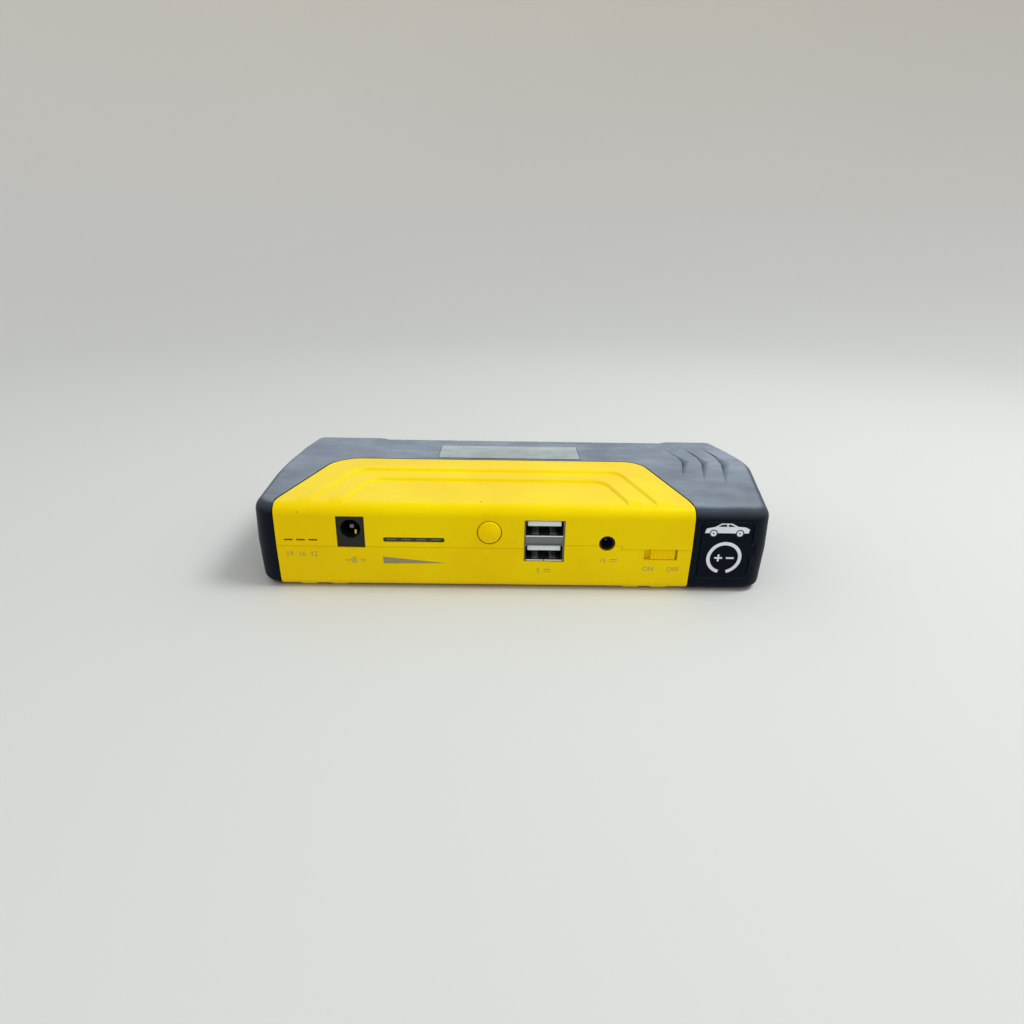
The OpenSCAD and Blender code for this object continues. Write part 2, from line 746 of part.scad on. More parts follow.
// White tongue in the upper part of each port, with the block that carries it
module usb_tongues() color("#e9eef2") {
    tongue = [11.1, 9, 1.84];
    y_back = front_y + usb_depth;
    for (s = [-1, 1]) {
        top_z = usb_port_z(s) + port_h / 2 - 0.35;
        translate([usb_x - tongue[0] / 2, y_back - 5 - tongue[1], top_z - tongue[2]]) cube(tongue);
        translate([usb_x - tongue[0] / 2 - 0.3, y_back - 5.1, usb_port_z(s) - port_h / 2 + 0.05])
            cube([tongue[0] + 0.6, 4, port_h - 0.1]);
    }
}

// Four spring contacts under each tongue
module usb_contacts() color("#cdb26a") {
    contact = [1, 7, 0.2];
    for (s = [-1, 1], x = [-3.5, -1, 1, 3.5])
        translate([usb_x + x - contact[0] / 2, front_y + usb_depth - 13,
                   usb_port_z(s) + port_h / 2 - 0.35 - 1.84 - contact[2] - 0.02])
            cube(contact);
}

// Charging jack on the main board: a block with a sleeve that fills the hole in the wall
module dc_input_jack() color("#1e2022") {
    block = [9, 11];
    block_z = main_board_z + 0.02;
    difference() {
        union() {
            translate([input_x - block[0] / 2, inner_front_y + 1.2, block_z])
                cube([block[0], block[1], input_z - block_z + 4]);
            front_rod(input_x, input_z, input_d, front_y + 0.7, inner_front_y + 1.3);
        }
        front_rod(input_x, input_z, input_bore, front_y - 1, inner_front_y + 8);
        front_rod(input_x, input_z, input_pin_d + 0.04, front_y, front_y + 30, small_fn);
    }
}

module dc_input_pin() color("#b8bcc0") {
    translate([input_x, front_y + 2.6, input_z]) rotate([-90, 0, 0]) {
        cylinder(h = 10.4, d = input_pin_d, $fn = small_fn);
        sphere(d = input_pin_d, $fn = small_fn);
    }
}

// ---- lights ---------------------------------------------------------------------

// Smoked window with rounded ends, and its flange behind the wall
module level_window() color("#3a3326") {
    front_plate(window_x, lights_z, window_l, window_h, 0.6, front_y + 0.4, inner_front_y + 0.3);
    front_plate(window_x, lights_z, window_l + 2, window_h + 2, 0.6,
        inner_front_y + 0.3 + fit_gap * 9, inner_front_y + 0.3 + fit_gap * 9 + 0.6);
    front_plate(window_x, lights_z, window_l - 1, window_h - 0.4, 0.5,
        inner_front_y + 0.2, inner_front_y + 1.3);
}

// Four charge level lights on the indicator board
module level_lights() color("#dfe6ef") {
    lamp = [2.4, 2.4, 1.6];
    count = 4;
    for (i = [0:count - 1])
        translate([window_x + (i - (count - 1) / 2) * window_l / count - lamp[0] / 2,
                   indicator_y - lamp[1] - 0.02, lights_z - lamp[2] / 2])
            cube(lamp);
}

// Voltage lights on the output board, behind their slits
module voltage_lights() color("#e6eadf") {
    lamp = [2.6, 2, volt_z - output_board_z + 0.9];
    for (i = [0:volt_count - 1])
        translate([volt_x + (i - (volt_count - 1) / 2) * volt_pitch - lamp[0] / 2,
                   output_board_y + 0.4, output_board_z + 0.02])
            cube(lamp);
}

// ---- engine start socket --------------------------------------------------------

// Rubber cover: plate, finger tab, and the plug that presses into the socket's mouth
module engine_start_cover() color("#1a1d22") {
    plug_w = socket_w - 3.4;
    plug_h = socket_h - 3;
    front_plate(cover_x, cover_z, cover_w, cover_h, 1.2, cover_plane_y, cover_plane_y + cover_t);
    front_plate(cover_x + cover_w / 2, cover_z, 2.8, 4.6, 0.5, cover_plane_y, cover_plane_y + cover_t);
    difference() {
        front_plate(cover_x, cover_z, plug_w, plug_h, 1,
            cover_plane_y + cover_t - 0.2, cover_plane_y + cover_t + 1.4);
        front_plate(cover_x, cover_z, plug_w - 2.4, plug_h - 2.4, 0.6,
            cover_plane_y + cover_t, cover_plane_y + cover_t + 2);
    }
}

// Moulded socket with a key bevel, two deep wells, and a contact tube in each
module engine_start_socket() color("#2b4f8c") {
    well_d = contact_bore + 2 * contact_wall;
    difference() {
        union() {
            front_plate(cover_x, cover_z, socket_w, socket_h, 1,
                socket_front_y, socket_front_y + socket_depth);
            // flange that stands against the inside of the wall
            front_plate(cover_x, cover_z, socket_w + 1.6, socket_h + 1, 1,
                inner_front_y + 0.5, inner_front_y + 2.3);
        }
        for (s = [-1, 1])
            front_rod(cover_x, cover_z + s * contact_pitch / 2, well_d + 0.04,
                socket_front_y - 1, socket_front_y + socket_depth + 1);
        // the mouth round both wells
        front_plate(cover_x, cover_z, socket_w - 2.6, socket_h - 2.2, 0.8,
            socket_front_y - 1, socket_front_y + 5);
    }
}

// Two round contacts with their bores towards the front
module socket_contacts() color("#c8a64a") {
    for (s = [-1, 1]) {
        z = cover_z + s * contact_pitch / 2;
        difference() {
            front_rod(cover_x, z, contact_bore + 2 * contact_wall,
                socket_front_y + 6, socket_front_y + socket_depth + 2);
            front_rod(cover_x, z, contact_bore, socket_front_y, socket_front_y + socket_depth - 2);
        }
    }
}

// ---- torch ----------------------------------------------------------------------

module torch_lens() color([0.85, 0.92, 0.97, 0.6]) {
    translate([torch_x, torch_y, torch_z]) rotate([0, 90, 0]) rotate_extrude($fn = round_fn)
        polygon([[0, -0.5], [torch_d / 4, -0.35], [torch_d / 2 - 0.3, 0.1], [torch_d / 2, 0.4],
                 [torch_d / 2, 1.4], [0, 1.4]]);
}

// Cup that holds the lens at its mouth and the light at its foot
module torch_reflector() color("#d4d7da") {
    r = torch_d / 2;
    translate([torch_x, torch_y, torch_z]) rotate([0, 90, 0]) rotate_extrude($fn = round_fn)
        polygon([[r + fit_gap / 2, 0.6], [r + reflector_wall, 0.6], [r + reflector_wall, 3],
                 [3.4, torch_depth], [2.2, torch_depth], [2.2, torch_depth - 1.4],
                 [r - 1.4, 3.4], [r - 0.5, 1.5], [r + fit_gap / 2, 1.5]]);
}

module torch_light() color("#f2e9b8") {
    translate([torch_x + torch_depth - 3, torch_y, torch_z]) rotate([0, 90, 0]) {
        cylinder(h = 4.4, r = 2.1, $fn = small_fn);
        sphere(r = 2.1, $fn = small_fn);
    }
}

// ---- battery, boards and screws -------------------------------------------------

module battery_cells() color("#9aa3a8") {
    for (i = [0:cell_count - 1])
        translate([battery_x - cell_l / 2, battery_y - cell_w / 2, battery_z + i * (cell_t + pad_t)])
            cube([cell_l, cell_w, cell_t - 0.04]);
}

// Foam pads between the cells, and under and over the stack
module cell_pads() color("#3c4043") {
    ceiling_z = body_h - level_drop - wall;
    for (i = [0:cell_count - 2])
        translate([battery_x - cell_l / 2 + 4, battery_y - cell_w / 2 + 3,
                   battery_z + (i + 1) * cell_t + i * pad_t])
            cube([cell_l - 8, cell_w - 6, pad_t - 0.04]);
    for (x = [-40, 30]) {
        translate([battery_x + x, battery_y, battery_z - 0.2]) cube([14, cell_w - 10, 0.3], center = true);
        translate([battery_x + x - 7, battery_y - cell_w / 2 + 5, battery_z + cell_stack_h])
            cube([14, cell_w - 10, ceiling_z - battery_z - cell_stack_h - 0.05]);
    }
}

// Heavy copper straps from the battery to the engine start socket
module battery_leads() color("#b0703a") {
    strap_w = 5;
    strap_t = 1.2;
    back = lead_y;
    x_end = battery_x + cell_l / 2;
    for (s = [-1, 1]) {
        z = cover_z + s * contact_pitch / 2;
        translate([x_end + 0.05, back + 0.02, z - strap_w / 2])
            cube([cover_x + strap_w / 2 - x_end, strap_t, strap_w]);
        translate([x_end + 0.05, back + 0.02, z - strap_w / 2]) cube([strap_t, 14, strap_w]);
    }
}

module main_board() color("#1f6b3a") {
    translate([main_board_x[0], board_front_y, main_board_z - board_t])
        cube([main_board_x[1] - main_board_x[0], board_back_y - board_front_y, board_t]);
}

module output_board() color("#1f6b3a") {
    translate([output_board_x[0], output_board_y, output_board_z - board_t])
        cube([output_board_x[1] - output_board_x[0], board_back_y - output_board_y, board_t]);
}

module indicator_board() color("#1f6b3a") {
    translate([indicator_x[0], indicator_y, main_board_z - 2])
        cube([indicator_x[1] - indicator_x[0], board_t, indicator_top_z - main_board_z + 2]);
}

// Coils, capacitors and power transistors on the two flat boards
module board_parts() color("#5d6166") {
    coil_d = 7;
    can_d = 6;
    chip = [4, 4, 1.6];
    on_main = main_board_z + 0.02;
    on_output = output_board_z + 0.02;
    translate([usb_x + usb_w / 2 + 1.55 + coil_d / 2, parts_y, on_main])
        cylinder(h = 7, d = coil_d, $fn = small_fn);
    translate([input_x + 8.3, parts_y, on_main]) cylinder(h = 9, d = can_d, $fn = small_fn);
    for (x = [switch_x - 4, switch_x + 1])
        translate([x, board_back_y - 0.6 - chip[1], on_main]) cube(chip);
    translate([output_x - 14.3, parts_y - 3, on_output]) cube([8, 7, 5]);
    translate([output_x - 19.3, parts_y, on_output]) cylinder(h = 7, d = 5, $fn = small_fn);
}

// Pan head screws that come up from below into the bosses of the upper shell
module housing_screws() color("#8c9095") {
    for (p = screw_places) {
        translate([p[0], p[1], screw_seat_z - screw_head_h - 0.02])
            cylinder(h = screw_head_h, d = screw_head_d, $fn = small_fn);
        translate([p[0], p[1], screw_seat_z - 0.1])
            cylinder(h = parting_z + 7 - screw_seat_z, d = pilot_d - 0.04, $fn = small_fn);
    }
}

upper_housing();
lower_housing();
upper_front_panel();
lower_front_panel();
label_plate();
power_button();
button_switch();
switch_knob();
slide_switch();
dc_output_jack();
dc_output_contacts();
usb_shell();
usb_tongues();
usb_contacts();
dc_input_jack();
dc_input_pin();
level_window();
level_lights();
voltage_lights();
engine_start_cover();
engine_start_socket();
socket_contacts();
torch_lens();
torch_reflector();
torch_light();
battery_cells();
cell_pads();
battery_leads();
main_board();
output_board();
indicator_board();
board_parts();
housing_screws();
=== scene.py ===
# %% [markdown]
# # A jump starter pack
# This pack lies in a car's boot and starts an engine with a flat battery. It has two black
# shells, a yellow panel wrapped round its front, a row of sockets and a rubber cover. The
# solids come from the CAD model, in one shared frame. This lesson gives them their looks.

import math

import bmesh
import bpy
from mathutils import Matrix, Vector


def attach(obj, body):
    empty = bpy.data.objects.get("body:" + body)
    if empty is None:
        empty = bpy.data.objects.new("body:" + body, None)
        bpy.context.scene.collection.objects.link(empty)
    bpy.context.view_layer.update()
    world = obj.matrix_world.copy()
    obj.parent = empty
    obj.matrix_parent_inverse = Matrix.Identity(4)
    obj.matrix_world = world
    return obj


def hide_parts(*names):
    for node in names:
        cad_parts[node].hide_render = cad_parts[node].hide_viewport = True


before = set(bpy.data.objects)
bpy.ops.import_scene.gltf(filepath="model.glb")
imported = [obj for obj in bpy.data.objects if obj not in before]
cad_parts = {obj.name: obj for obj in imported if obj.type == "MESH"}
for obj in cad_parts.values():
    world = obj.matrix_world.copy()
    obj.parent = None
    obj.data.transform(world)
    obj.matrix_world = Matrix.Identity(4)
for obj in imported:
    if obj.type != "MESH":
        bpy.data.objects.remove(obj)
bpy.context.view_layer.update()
print("CAD nodes:", len(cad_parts))

# %% [markdown]
# ## Sizes
# A moulded case is easier to draw in millimetres, so each mesh is made in millimetres and
# scaled to metres when it is finished. The values repeat those of the CAD model.

# %% Sizes of the case, in millimetres
MM = 0.001
FRONT, BACK = -40.0, 40.0
HEIGHT, PARTING = 31.0, 15.6
DROP = 0.8  # the plain surfaces lie this far below the ribs and the raised corners
DRAFT = math.tan(math.radians(2))
EDGE, FOOT = 5.0, 3.3  # rounding of the upper and the lower long edges, at the level of the ribs
WALL, SEAT, SKIN = 3.0, 1.6, 1.5  # shell wall, seat for the panel, panel thickness
REVEAL, PANEL_GAP, FIT = 0.1, 0.32, 0.1  # parting line, gap round the panel, fit of a hole
MERGE = 0.0005  # points nearer than this are one point
UP, DOWN = HEIGHT - PARTING, PARTING  # heights of the two shells

# corners of the case, the panel and the ribs: x, y and radius
BODY = [
    (-87.5, FRONT, 9), (82.5, FRONT, 7), (93.7, 12, 24),
    (85.5, BACK, 6), (-87, BACK, 5.5), (-91.4, 7, 150),
]
PANEL = [
    (-80.1, -45, 0.5), (58.1, -45, 0.5), (57.25, -32.4, 14),
    (48, 9.8, 9), (-70.2, 9.8, 12), (-80.1, -34.5, 14),
]
RIBS = [
    [(-81.6, -70, 0.5), (58.45, -70, 0.5), (40.5, -0.4, 10), (-63.3, -0.4, 10)],
    [(-71.2, -70, 0.5), (49.05, -70, 0.5), (33.8, -10.8, 10), (-55.6, -10.8, 10)],
]
RIB_W, RIB_SLOPE = 4.8, 1.0
# the raised back corners: foot and top, as the long front slope lies between them
PADS = [
    (
        [(-95, 15, 1), (-59.24, 15, 6), (-53.5, 48, 1), (-95, 48, 1)],
        [(-95, 25, 1), (-57.5, 25, 6), (-53.5, 48, 1), (-95, 48, 1)],
    ),
    (
        [(66.44, 15, 6), (99.5, 15, 1), (99.5, 48, 1), (60.7, 48, 1)],
        [(64.7, 25, 6), (99.5, 25, 1), (99.5, 48, 1), (60.7, 48, 1)],
    ),
]
SCREWS = [(-82.3, -31), (-81, 33), (3.6, 34), (80.1, 33), (80.7, -10.5)]

# %% [markdown]
# ## Mesh helpers
# A case like this is drawn as a plan with rounded corners, raised to a block, and rounded
# along its rim. Bevelling the corners of a plain polygon gives the plan, and joining plans
# at different heights gives the block and its rim. Boolean modifiers then cut the holes.


# %% Plans and blocks
def add_plan(bm, corners, z=0.0, inset=0.0, segments=10):
    """Adds a flat face through the corners, drawn in by inset, with each corner rounded."""
    face = bm.faces.new([bm.verts.new((x, y, z)) for x, y, _ in corners])
    if inset:
        face.normal_update()
        border = bmesh.ops.inset_region(
            bm, faces=[face], thickness=inset, use_boundary=True, use_even_offset=True
        )
        bmesh.ops.delete(bm, geom=border["faces"], context="FACES")
    verts = list(face.verts)
    spots = [vert.co.copy() for vert in verts]
    for i, vert in enumerate(verts):
        turn = (spots[i] - spots[i - 1]).angle(spots[(i + 1) % len(spots)] - spots[i])
        offset = max(corners[i][2] - inset, 0.3) * math.tan(turn / 2)
        bmesh.ops.bevel(
            bm, geom=[vert], offset=offset, offset_type="OFFSET", segments=segments,
            profile=0.5, affect="VERTICES", material=-1,
        )


def tapered(levels, segments=10):
    """A block through one plan for each (corners, height, inset), joined from level to level."""
    bm = bmesh.new()
    rings = []
    for corners, z, inset in levels:
        old = set(bm.edges)
        add_plan(bm, corners, z, inset, segments)
        rings.append([edge for edge in bm.edges if edge not in old])
    bmesh.ops.delete(bm, geom=bm.faces[:], context="FACES_ONLY")
    for low, high in zip(rings, rings[1:]):
        bmesh.ops.bridge_loops(bm, edges=low + high)
    return bm


def loft(corners, levels, segments=10):
    """The same with one plan at every level, drawn in by a different inset."""
    return tapered([(corners, z, inset) for z, inset in levels], segments)


def solid(name, bm):
    """Closes the mesh, turns its faces outwards and gives it an object."""
    bmesh.ops.holes_fill(bm, edges=[edge for edge in bm.edges if edge.is_boundary])
    bmesh.ops.remove_doubles(bm, verts=bm.verts, dist=MERGE)
    bmesh.ops.recalc_face_normals(bm, faces=bm.faces)
    mesh = bpy.data.meshes.new(name)
    bm.to_mesh(mesh)
    bm.free()
    piece = bpy.data.objects.new(name, mesh)
    bpy.context.scene.collection.objects.link(piece)
    return piece


def block(corners, z0, z1, inset=0.0, segments=10):
    """A block with straight sides between two heights."""
    return loft(corners, [(z0, inset), (z1, inset)], segments)


def rectangle(left, right, low, high, r):
    return [(left, low, r), (right, low, r), (right, high, r), (left, high, r)]


# %% Boxes and rods, and how they are moved and turned
def move(bm, vec):
    bmesh.ops.translate(bm, verts=bm.verts, vec=vec)


def rotate(bm, degrees, axis, centre=(0, 0, 0)):
    turn = Matrix.Rotation(math.radians(degrees), 3, axis)
    bmesh.ops.rotate(bm, verts=bm.verts, cent=centre, matrix=turn)


def stand_up(bm):
    """Turns a block drawn flat so that its height points out of the front."""
    rotate(bm, 90, "X")
    return bm


def box(size):
    bm = bmesh.new()
    bmesh.ops.create_cube(bm, size=1.0)
    bmesh.ops.scale(bm, verts=bm.verts, vec=size)
    return bm


def rod(middle, radius, length, axis="Z", segments=32):
    """A round rod along one axis."""
    place = Matrix.Translation(middle)
    if axis != "Z":
        place = place @ Matrix.Rotation(math.pi / 2, 4, {"X": "Y", "Y": "X"}[axis])
    bm = bmesh.new()
    bmesh.ops.create_cone(
        bm, cap_ends=True, segments=segments, radius1=radius, radius2=radius, depth=length, matrix=place
    )
    return bm


def front_block(x, z, w, h, r, y0, y1):
    """A block with rounded corners that runs from y0 back to y1."""
    corners = rectangle(x - w / 2, x + w / 2, z - h / 2, z + h / 2, r)
    return stand_up(block(corners, -y1, -y0, segments=5))


def front_rod(x, z, d, y0, y1):
    """A round rod that runs from y0 back to y1."""
    return rod((x, (y0 + y1) / 2, z), d / 2, y1 - y0, "Y", 64)


# %% Booleans and joined pieces
def settle(piece):
    """Applies the piece's modifiers to its mesh."""
    graph = bpy.context.evaluated_depsgraph_get()
    mesh = bpy.data.meshes.new_from_object(piece.evaluated_get(graph))
    piece.modifiers.clear()
    old, piece.data = piece.data, mesh
    bpy.data.meshes.remove(old)


def tidy(piece):
    """Clears the slivers that Booleans leave, so that a bevel can run along each edge."""
    bm = bmesh.new()
    bm.from_mesh(piece.data)
    bmesh.ops.remove_doubles(bm, verts=bm.verts, dist=0.004)
    bmesh.ops.dissolve_limit(bm, angle_limit=math.radians(0.3), verts=bm.verts, edges=bm.edges)
    bm.to_mesh(piece.data)
    bm.free()


def drop(piece):
    mesh = piece.data
    bpy.data.objects.remove(piece)
    bpy.data.meshes.remove(mesh)


def combine(piece, tool, operation="DIFFERENCE", keep=False):
    """Cuts the tool out of the piece, adds it, or keeps what they share."""
    step = piece.modifiers.new("combine", "BOOLEAN")
    step.object, step.operation, step.solver = tool, operation, "EXACT"
    settle(piece)
    if not keep:
        drop(tool)
    return piece


def joined(name, *parts):
    """One object from several closed meshes that don't touch."""
    bm = bmesh.new()
    for part in parts:
        mesh = bpy.data.meshes.new("part")
        part.to_mesh(mesh)
        part.free()
        bm.from_mesh(mesh)
        bpy.data.meshes.remove(mesh)
    return solid(name, bm)


# %% [markdown]
# ## Materials
# Each finish starts from what the real one is made of. A hex value is the colour that the
# eye sees, so one function turns it to the linear value that the renderer works with.


# %% Colour and node helpers
def linear(hex_value):
    parts = [int(hex_value[i : i + 2], 16) / 255 for i in (1, 3, 5)]
    return [p / 12.92 if p <= 0.04045 else ((p + 0.055) / 1.055) ** 2.4 for p in parts] + [1.0]


def add(tree, kind, inputs=None, **settings):
    """Adds a node, with its settings, and its inputs as values or as links."""
    made = tree.nodes.new(kind)
    for name, value in settings.items():
        setattr(made, name, value)
    for key, value in (inputs or {}).items():
        if isinstance(value, bpy.types.NodeSocket):
            tree.links.new(value, made.inputs[key])
        else:
            made.inputs[key].default_value = value
    return made


def new_material(name, **sockets):
    """A material with one Principled shader and its plain values."""
    material = bpy.data.materials.new(name)
    material.use_nodes = True
    shader = material.node_tree.nodes["Principled BSDF"]
    for key, value in sockets.items():
        shader.inputs[key.replace("_", " ")].default_value = value
    return material, material.node_tree, shader


def per_mm(size):
    """Noise scale that gives features of this size in millimetres."""
    return 1 / (size * MM)


def noise(tree, spot, size, detail, **inputs):
    """Noise with features of this size in millimetres."""
    inputs |= {"Vector": spot, "Scale": per_mm(size), "Detail": detail}
    return add(tree, "ShaderNodeTexNoise", inputs).outputs["Fac"]


def remap(tree, value, low, high, to_low, to_high):
    """Turns values from low to high into values from to_low to to_high."""
    ends = {"From Min": low, "From Max": high, "To Min": to_low, "To Max": to_high}
    return add(tree, "ShaderNodeMapRange", {"Value": value, **ends}).outputs[0]


def compute(tree, operation, first, second, **settings):
    return add(tree, "ShaderNodeMath", {0: first, 1: second}, operation=operation, **settings).outputs[0]


def mix(tree, share, first, second):
    """Mixes two colours by the share of the second."""
    inputs = {"Factor": share, 6: first, 7: second}
    return add(tree, "ShaderNodeMix", inputs, data_type="RGBA").outputs[2]


def specks(tree, spot, spacing, drift, most, radius):
    """Small spots, scattered in patches: 1 in a spot and 0 beside it."""
    inputs = {"Vector": spot, "Scale": per_mm(spacing), "Randomness": 1.0}
    cells = add(tree, "ShaderNodeTexVoronoi", inputs, feature="F1").outputs["Distance"]
    edge = remap(tree, noise(tree, spot, drift, 0.0), 0.45, most, 0.0, radius)
    return compute(tree, "LESS_THAN", cells, edge)


def grain(tree, shader, size, depth):
    """Bump of a moulded or etched surface, with features of this size in millimetres."""
    spot = add(tree, "ShaderNodeTexCoord").outputs["Object"]
    height = noise(tree, spot, size, 2.0)
    bump = add(tree, "ShaderNodeBump", {"Height": height, "Strength": 1.0, "Distance": depth * MM})
    tree.links.new(bump.outputs["Normal"], shader.inputs["Normal"])
    return spot


# %% [markdown]
# Yellow ABS is moulded in a polished mould, so it is smooth with a soft gloss. Its pigment
# lies so near the surface that the gloss takes on some of the yellow. In use the panel
# picks up fine dark specks and faint handling marks, which change its colour and its gloss
# a little. Its colour is rich, so it stays yellow in shade.

# %% Yellow ABS
yellow_abs, tree, shader = new_material(
    "yellow_abs_moulded", Roughness=0.36, IOR=1.53, Specular_IOR_Level=0.45,
    Specular_Tint=linear("#ffdf52"),
)
spot = grain(tree, shader, 0.6, 0.008)
shade = add(tree, "ShaderNodeValToRGB", {"Fac": noise(tree, spot, 26, 3.0)})
ends = shade.color_ramp.elements
ends[0].position, ends[0].color = 0.35, linear("#f6d100")
ends[1].position, ends[1].color = 0.65, linear("#fbdd00")
dirt = specks(tree, spot, 5.0, 9, 0.72, 0.07)
tree.links.new(mix(tree, dirt, shade.outputs["Color"], linear("#7d6c1c")), shader.inputs["Base Color"])
smear = noise(tree, spot, 9, 4.0)
tree.links.new(remap(tree, smear, 0.3, 0.7, 0.27, 0.38), shader.inputs["Roughness"])

# %% [markdown]
# The black shells are ABS from a spark-eroded mould: a fine even grain that scatters light.
# Where the surface faces up it is turned slate grey: partly dust that settles in that grain,
# partly a painted reflection of the bright sky. This grey is mixed in by the direction that
# the surface faces, broken up by noise, with a few brighter specks and faint streaks from
# wiping. It thins out below the level of the flat top, which paints shade onto the rounded
# edges and into the grooves. Seen at a low angle, such dust is brighter, which is what the
# sheen is for.

# %% Black ABS with dust and painted light


def black_with_dust_and_painted_light(name, base, dust_and_painted_reflection, amount, grain_mm=0.45, grain_depth=0.03, sheen=0.5):
    """Black plastic whose upward faces turn grey, partly with a dusty film and partly with a painted sky
    reflection, with painted shade below the flat top.
    """
    material, tree, shader = new_material(
        name, Roughness=0.5, IOR=1.5, Specular_IOR_Level=0.07, Sheen_Roughness=0.45,
        Sheen_Tint=linear("#dfe8f6"),
    )
    spot = grain(tree, shader, grain_mm, grain_depth)
    facing = add(tree, "ShaderNodeNewGeometry").outputs["Normal"]
    up = add(tree, "ShaderNodeSeparateXYZ", {"Vector": facing}).outputs["Z"]
    level = add(tree, "ShaderNodeSeparateXYZ", {"Vector": spot}).outputs["Z"]
    inputs = {"Vector": spot, "Scale": (0.25, 1.0, 1.0), "Rotation": (0, 0, 0.5)}
    stretched = add(tree, "ShaderNodeMapping", inputs).outputs[0]
    flat_top = HEIGHT - DROP
    # painted shade: the grey fades out below the flat top, which darkens the rounded edges and the groove
    # floors
    high = remap(tree, level, (flat_top - 0.6) * MM, (flat_top - 0.05) * MM, 0.3, 1.0)
    patchy = remap(tree, noise(tree, spot, 24, 5.0, Roughness=0.6), 0.3, 0.7, 0.72, 1.2)
    wiped = remap(tree, noise(tree, stretched, 3.5, 3.0), 0.35, 0.7, 0.9, 1.1)
    # upward faces turn grey: partly dust, partly a painted reflection of the sky
    share = remap(tree, up, 0.15, 1.0, 0.0, amount)
    for factor in (high, patchy, wiped):
        share = compute(tree, "MULTIPLY", share, factor, use_clamp=True)
    coat = mix(tree, share, linear(base), linear(dust_and_painted_reflection))
    flecks = compute(tree, "MULTIPLY", specks(tree, spot, 3.2, 11, 0.75, 0.1), share)
    tree.links.new(mix(tree, flecks, coat, linear("#bcc5cf")), shader.inputs["Base Color"])
    tree.links.new(compute(tree, "MULTIPLY", share, sheen), shader.inputs["Sheen Weight"])
    tree.links.new(remap(tree, share, 0.0, 1.0, 0.42, 0.62), shader.inputs["Roughness"])
    return material


black_abs = black_with_dust_and_painted_light("black_abs_spark_eroded", "#0a1320", "#8c96a8", 0.77)
plate_vinyl = black_with_dust_and_painted_light("dark_vinyl_plate", "#20282e", "#b0b6b8", 0.9, 0.6, 0.01)
black_rubber = black_with_dust_and_painted_light("black_tpe_rubber", "#070f1a", "#6f7883", 0.5, 0.35, 0.02, 0.1)

# %% [markdown]
# The small finishes follow one way: a base colour, a roughness, and a grain that suits how
# the piece was made. Metals keep their colour in the base colour and get a fine brushed or
# stamped grain. Prints are a thin layer of ink, slightly raised and slightly uneven.


# %% Small finishes
VARY = 0.04  # how far the colour of a piece drifts


def plain_finish(name, colour, rough, size, depth, **sockets):
    """A finish with a grain, and a colour that drifts a little round the piece."""
    material, tree, shader = new_material(name, Roughness=rough, **sockets)
    spot = grain(tree, shader, size, depth)
    dark, light = [
        [channel * k for channel in linear(colour)[:3]] + [1.0] for k in (1 - 2 * VARY, 1 + 2 * VARY)
    ]
    tree.links.new(mix(tree, noise(tree, spot, 6, 2.0), dark, light), shader.inputs["Base Color"])
    return material


yellow_knob = plain_finish(
    "yellow_abs_knob", "#fcd600", 0.38, 0.5, 0.01, IOR=1.53, Specular_IOR_Level=0.3,
    Specular_Tint=linear("#ffdf52"),
)
black_nylon = plain_finish("black_nylon_jack", "#1c1e18", 0.45, 0.3, 0.02, Specular_IOR_Level=0.3)
smoked_acrylic = plain_finish("smoked_acrylic_window", "#2e2a12", 0.15, 2.0, 0.004)
nickel_steel = plain_finish("nickel_plated_steel", "#b9bcc0", 0.28, 0.25, 0.008, Metallic=1.0)
# steel darker than bare metal: painted shade on the walls of the USB ports and in the bore of the output
# jack
steel_darkened_for_shade = plain_finish("rolled_steel_with_painted_shade", "#7b7e80", 0.4, 0.25, 0.01, Metallic=1.0)
bright_nickel = plain_finish("bright_nickel_lip", "#eef0f1", 0.16, 0.4, 0.003, Metallic=1.0)
# a dark pin colour: painted shade inside the charging jack, on its pin and its spring ring
pin_darkened_for_shade = plain_finish("pin_with_painted_shade", "#4a4843", 0.45, 0.3, 0.01, Metallic=1.0)
switch_steel = plain_finish("tinned_steel_can", "#a9adb0", 0.35, 0.3, 0.01, Metallic=1.0)
gold_plate = plain_finish("gold_plated_contact", "#d8b45a", 0.25, 0.3, 0.005, Metallic=1.0)
copper_strap = plain_finish("copper_strap", "#b8744a", 0.35, 0.5, 0.01, Metallic=1.0)
white_pbt = plain_finish("white_pbt_tongue", "#f0f6fb", 0.35, 0.4, 0.008)
blue_nylon = plain_finish("blue_nylon_socket", "#24468c", 0.45, 0.3, 0.02)
torch_chrome = plain_finish("vacuum_metallised_cup", "#d9dbdd", 0.12, 1.5, 0.006, Metallic=1.0)
led_phosphor = plain_finish("led_phosphor", "#efe29a", 0.4, 0.4, 0.006)
cell_foil = plain_finish("aluminium_laminate_pouch", "#a7aeb2", 0.42, 1.2, 0.05, Metallic=1.0)
foam_pad = plain_finish("polyurethane_foam", "#3a3d40", 0.95, 0.5, 0.2)
board_mask = plain_finish("green_solder_mask", "#1f6a3b", 0.35, 0.8, 0.01)
epoxy_case = plain_finish("black_epoxy_package", "#2b2d2f", 0.5, 0.25, 0.01)
zinc_steel = plain_finish("zinc_plated_screw", "#9a9ea2", 0.38, 0.3, 0.01, Metallic=1.0)
white_ink = plain_finish("white_pad_print", "#e6edfb", 0.5, 0.4, 0.01)
grey_ink = plain_finish("grey_pad_print", "#a89a4c", 0.5, 0.4, 0.01)
dark_ink = plain_finish("dark_grey_pad_print", "#9a9061", 0.5, 0.4, 0.01)

clear_lens, tree, shader = new_material(
    "clear_polycarbonate_lens", Roughness=0.05, IOR=1.58, Transmission_Weight=1.0,
    Base_Color=linear("#f2f8fb"),
)
grain(tree, shader, 3.0, 0.006)
print("materials:", len(bpy.data.materials))


